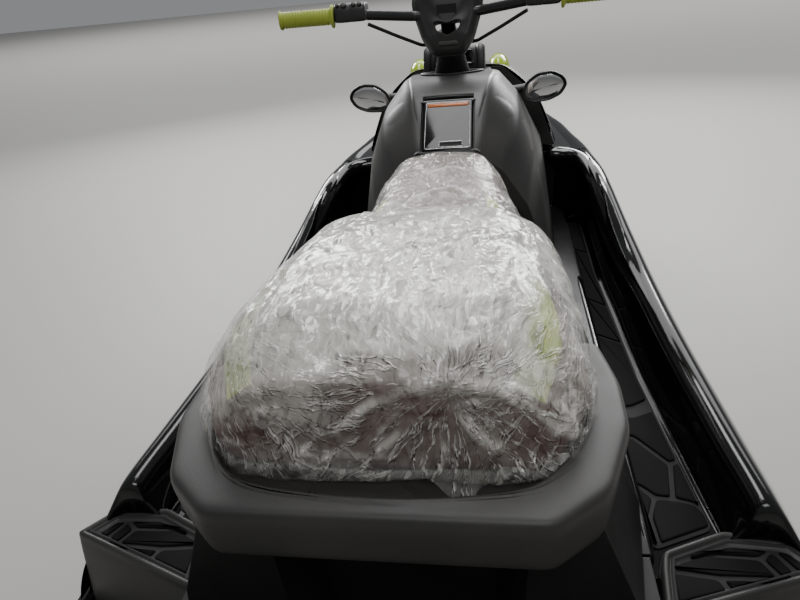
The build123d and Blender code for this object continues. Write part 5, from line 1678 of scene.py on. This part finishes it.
def bar_pad():
    outer = round_corners(mirrored(PAD), 0.010, 3)
    notch = round_corners(NOTCH, 0.004, 3)
    rings = [
        shield_ring(notch, 1.0, -PAD_HALF + 0.004), shield_ring(notch, 1.12, -PAD_HALF), shield_ring(outer, 0.90, -PAD_HALF),
        shield_ring(outer, 0.985, -PAD_HALF + 0.004), shield_ring(outer, 1.0, -PAD_HALF + 0.014), shield_ring(outer, 1.0, 0.004),
        shield_ring(outer, 0.985, 0.014, pad_facet), shield_ring(outer, 0.94, 0.022, pad_facet),
        shield_ring(outer, 0.91, 0.0245, pad_facet), shield_ring(outer, 0.74, 0.0285, pad_facet),
        shield_ring(outer, 0.72, 0.0265, pad_facet), shield_ring(outer, 0.58, 0.0265, pad_facet), shield_ring(notch, 1.16, 0.0265),
        shield_ring(notch, 1.10, 0.0275), shield_ring(notch, 1.03, 0.0260), shield_ring(notch, 1.0, 0.022),
    ]
    rings.append(rings[0])
    points, faces = skin(rings[:-1], caps=False)
    last = (len(rings) - 2) * PAD_TURNS
    faces += [(last + k, last + (k + 1) % PAD_TURNS, (k + 1) % PAD_TURNS, k) for k in range(PAD_TURNS)]
    piece = mesh_piece("bar_pad_cover", points, faces, "plastic_black", body="steering", level=1)
    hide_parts("bar_pad")
    clip = round_corners([(-0.026, -0.060), (0.026, -0.060), (0.022, -0.048), (-0.022, -0.048)], 0.004, 4)
    rings = [[on_pad(x, t, rise) for x, t in inset(clip, amount)] for amount, rise in ((0, 0.014), (0, 0.0195), (0.0015, 0.0215), (0.004, 0.0215))]
    mesh_piece("pad_clip", *skin(rings), "plastic_grey", body="steering", level=1)
    return piece


bar_pad()
print("bar pad", PAD_TURNS, "points a ring")

# %% Grips and switch housings
BAR_INNER, BAR_OUTER = Vector((0.200, -0.003, 0.852)), Vector((0.366, -0.026, 0.854))
GRIP_RIBS = 15
GRIP_PROFILE_ENDS = [(0.0460, 0.0118), (0.0460, 0.0228), (0.0470, 0.0240), (0.0505, 0.0240), (0.0520, 0.0226), (0.0535, 0.0185), (0.0560, 0.0172)]
GRIP_TIP = [(0.1600, 0.0170), (0.1615, 0.0186), (0.1630, 0.0196), (0.1660, 0.0196), (0.1672, 0.0184), (0.1675, 0.0120)]
GRIP_SIDES = 32


def along_bar(sign, profile, name, slot, level=0, squash=1.0):
    """Rings of given (distance, radius) round the outer stretch of the bar."""
    axis = (BAR_OUTER - BAR_INNER).normalized()
    ahead = Vector((0, 1, 0))
    up = axis.cross(ahead).normalized()
    ahead = up.cross(axis).normalized()
    rings = []
    for reach, radius in profile:
        centre = BAR_INNER + axis * reach
        ring = []
        for k in range(GRIP_SIDES):
            t = 2 * math.pi * k / GRIP_SIDES
            spot = centre + ahead * radius * math.cos(t) + up * radius * squash * math.sin(t)
            ring.append((sign * spot.x, spot.y, spot.z))
        rings.append(ring)
    return mesh_piece(name, *skin(rings), slot, body="steering", level=level)


def grip(side, sign):
    profile = list(GRIP_PROFILE_ENDS)
    start, end = profile[-1][0] + 0.002, GRIP_TIP[0][0] - 0.002
    for k in range(GRIP_RIBS):
        at = start + (end - start) * k / GRIP_RIBS
        pitch = (end - start) / GRIP_RIBS
        profile += [(at, 0.0163), (at + pitch * 0.25, 0.0172), (at + pitch * 0.7, 0.0172), (at + pitch * 0.92, 0.0163)]
    piece = along_bar(sign, profile + GRIP_TIP, "grip_cover_" + side, "rubber_lime")
    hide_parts("grip_" + side)


# Outline of a switch housing across the bar: ahead of the bar, above the bar
SWITCH = [(-0.024, -0.017), (0.026, -0.017), (0.031, -0.010), (0.031, 0.010), (0.022, 0.022), (-0.016, 0.022), (-0.026, 0.014), (-0.028, -0.008)]
SWITCH_PLACES = [
    # x, scale
    (0.1725, 0.80), (0.1735, 0.90), (0.177, 0.97), (0.184, 1.0), (0.205, 1.0), (0.2062, 0.975), (0.2078, 0.975), (0.209, 1.0),
    (0.234, 1.0), (0.240, 0.95), (0.2428, 0.86), (0.2434, 0.74),
]
BUTTONS = [
    # x, radius
    (0.184, 0.0052), (0.197, 0.0052), (0.219, 0.0068), (0.233, 0.0040),
]
SWITCH_AXIS_Z = 0.8545


def switch_housing(side, sign):
    outline = round_corners(SWITCH, 0.006, 3)
    rings = []
    for x, scale in SWITCH_PLACES:
        rings.append([(sign * x, 0.001 + a * scale, SWITCH_AXIS_Z + b * scale) for a, b in outline])
    piece = mesh_piece("switch_cover_" + side, *skin(rings), "plastic_black", body="steering", level=1)
    for k, (x, radius) in enumerate(BUTTONS):
        middle = Vector((sign * x, -0.0215, SWITCH_AXIS_Z + 0.0185))
        out = Vector((0, -0.62, 0.78))
        side_way, up_way = Vector((1, 0, 0)), Vector((0, 0.78, 0.62))
        rings = []
        for share, rise in ((1.0, -0.004), (1.0, 0.0024), (0.92, 0.0034), (0.6, 0.0038), (0.2, 0.0036)):
            turns = [2 * math.pi * n / 20 for n in range(20)]
            rings.append([middle + out * rise + (side_way * math.cos(t) + up_way * math.sin(t)) * radius * share for t in turns])
        button = mesh_piece("button_%s_%d" % (side, k + 1), *skin(rings), "plastic_grey", body="steering")
    return piece


def lever(side, sign):
    """Finger lever ahead of the grip, flattened, on a short knuckle."""
    path = [(0.228, 0.020, 0.8480), (0.240, 0.030, 0.8475), (0.252, 0.040, 0.8465), (0.275, 0.0428, 0.8458), (0.310, 0.0412, 0.8452), (0.332, 0.0360, 0.8450), (0.338, 0.0310, 0.8450)]
    rings = []
    for k, here in enumerate(path):
        before, after = Vector(path[max(k - 1, 0)]), Vector(path[min(k + 1, len(path) - 1)])
        along = (after - before).normalized()
        across = along.cross(Vector((0, 0, 1))).normalized()
        wide = 0.0045 if k < len(path) - 1 else 0.0052
        turns = [2 * math.pi * n / 12 for n in range(12)]
        ring = [Vector(here) + across * wide * math.cos(t) + Vector((0, 0, 1)) * 0.0036 * math.sin(t) for t in turns]
        rings.append([(sign * p.x, p.y, p.z) for p in ring])
    return mesh_piece("lever_" + side, *skin(rings), "plastic_black", body="steering", level=1)


for side, sign in (("right", 1), ("left", -1)):
    grip(side, sign)
    housing = switch_housing(side, sign)
    lever(side, sign)
    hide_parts("switch_" + side)
print(GRIP_RIBS, "ribs a grip")

# %% [markdown]
# ## Mirrors
# Each mirror is a leaf-shaped shell with a lip round slightly domed glass, on a short arm that
# grows out of the console.

# %% Mirrors
MIRROR_AT = Vector((0.226, 0.199, 0.633))
LEAF = [(-0.058, -0.012), (-0.046, 0.016), (-0.016, 0.036), (0.020, 0.039), (0.048, 0.026), (0.060, 0.004), (0.044, -0.022), (0.012, -0.036), (-0.030, -0.038), (-0.052, -0.028)]
SHELL_DEPTHS = [
    # inset, distance ahead of the lip
    (0.0062, 0.0045), (0.0050, 0.0030), (0.0040, 0.0004), (0.0022, -0.0006), (0.0004, 0.0006), (0.0000, 0.0040),
    (0.0004, 0.0120), (0.0030, 0.0230), (0.0090, 0.0330), (0.0170, 0.0390), (0.0260, 0.0410),
]
GLASS_DEPTHS = [(0.0058, 0.0042), (0.0066, 0.0036), (0.0120, 0.0030), (0.0200, 0.0026), (0.0280, 0.0024)]


def mirror(side, sign):
    outline = round_corners(LEAF, 0.011, 4)

    def rings_of(depths):
        rings = []
        for amount, ahead in depths:
            flat = [MIRROR_AT + Vector((x, ahead, z)) for x, z in inset(outline, amount)]
            rings.append([(sign * p.x, p.y, p.z) for p in flat])
        return rings

    shell = mesh_piece("mirror_shell_" + side, *skin(rings_of(SHELL_DEPTHS)), "plastic_black", level=1)
    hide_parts("mirror_" + side)
    glass = mesh_piece("mirror_leaf_" + side, *skin(rings_of(GLASS_DEPTHS)), "mirror_glass", level=1)
    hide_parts("mirror_glass_" + side)
    arm = []
    for x, y, z, r in ((0.196, 0.222, 0.632, 0.0125), (0.176, 0.222, 0.631, 0.0125), (0.158, 0.220, 0.628, 0.0140), (0.143, 0.217, 0.624, 0.0190), (0.138, 0.216, 0.622, 0.0230)):
        turns = [2 * math.pi * n / 16 for n in range(16)]
        arm.append([(sign * x, y + r * 1.2 * math.cos(t), z + r * 0.8 * math.sin(t)) for t in turns])
    mesh_piece("mirror_arm_" + side, *skin(arm), "plastic_black", level=1)


for side, sign in (("right", 1), ("left", -1)):
    mirror(side, sign)

# %% [markdown]
# ## Lime bow accents
# Two rounded lime covers stand on the hood, one either side, and show past the instruments.

# %% Lime accents
FINISH["paint_lime"] = moulded(
    "paint_lime", (0.36, 0.50, 0.02, 1), (0.42, 0.56, 0.03, 1), (0.06, 0.12), (90.0, 0.1, 0.02), (0.002, 0.05)
)
ACCENT_AT, ACCENT_HALF = Vector((0.112, 0.425, 0.655)), Vector((0.034, 0.080, 0.046))


def lime_accent(side, sign):
    rings = []
    for k in range(1, 12):
        turn = math.pi * k / 12
        ring = []
        for n in range(20):
            t = 2 * math.pi * n / 20
            x = ACCENT_HALF.x * math.sin(turn) ** 0.8 * math.cos(t)
            z = ACCENT_HALF.z * math.sin(turn) ** 0.8 * max(-0.55, math.sin(t))
            y = -ACCENT_HALF.y * math.cos(turn)
            ring.append((sign * (ACCENT_AT.x + x), ACCENT_AT.y + y, ACCENT_AT.z + z - 0.06 * (y + ACCENT_HALF.y)))
        rings.append(ring)
    piece = mesh_piece("lime_accent_" + side, *skin(rings), "plastic_grey", body="storage_hood", level=1)
    piece.data.materials[0] = FINISH["paint_lime"]
    return piece


for side, sign in (("right", 1), ("left", -1)):
    lime_accent(side, sign)
print("mirrors and accents done")
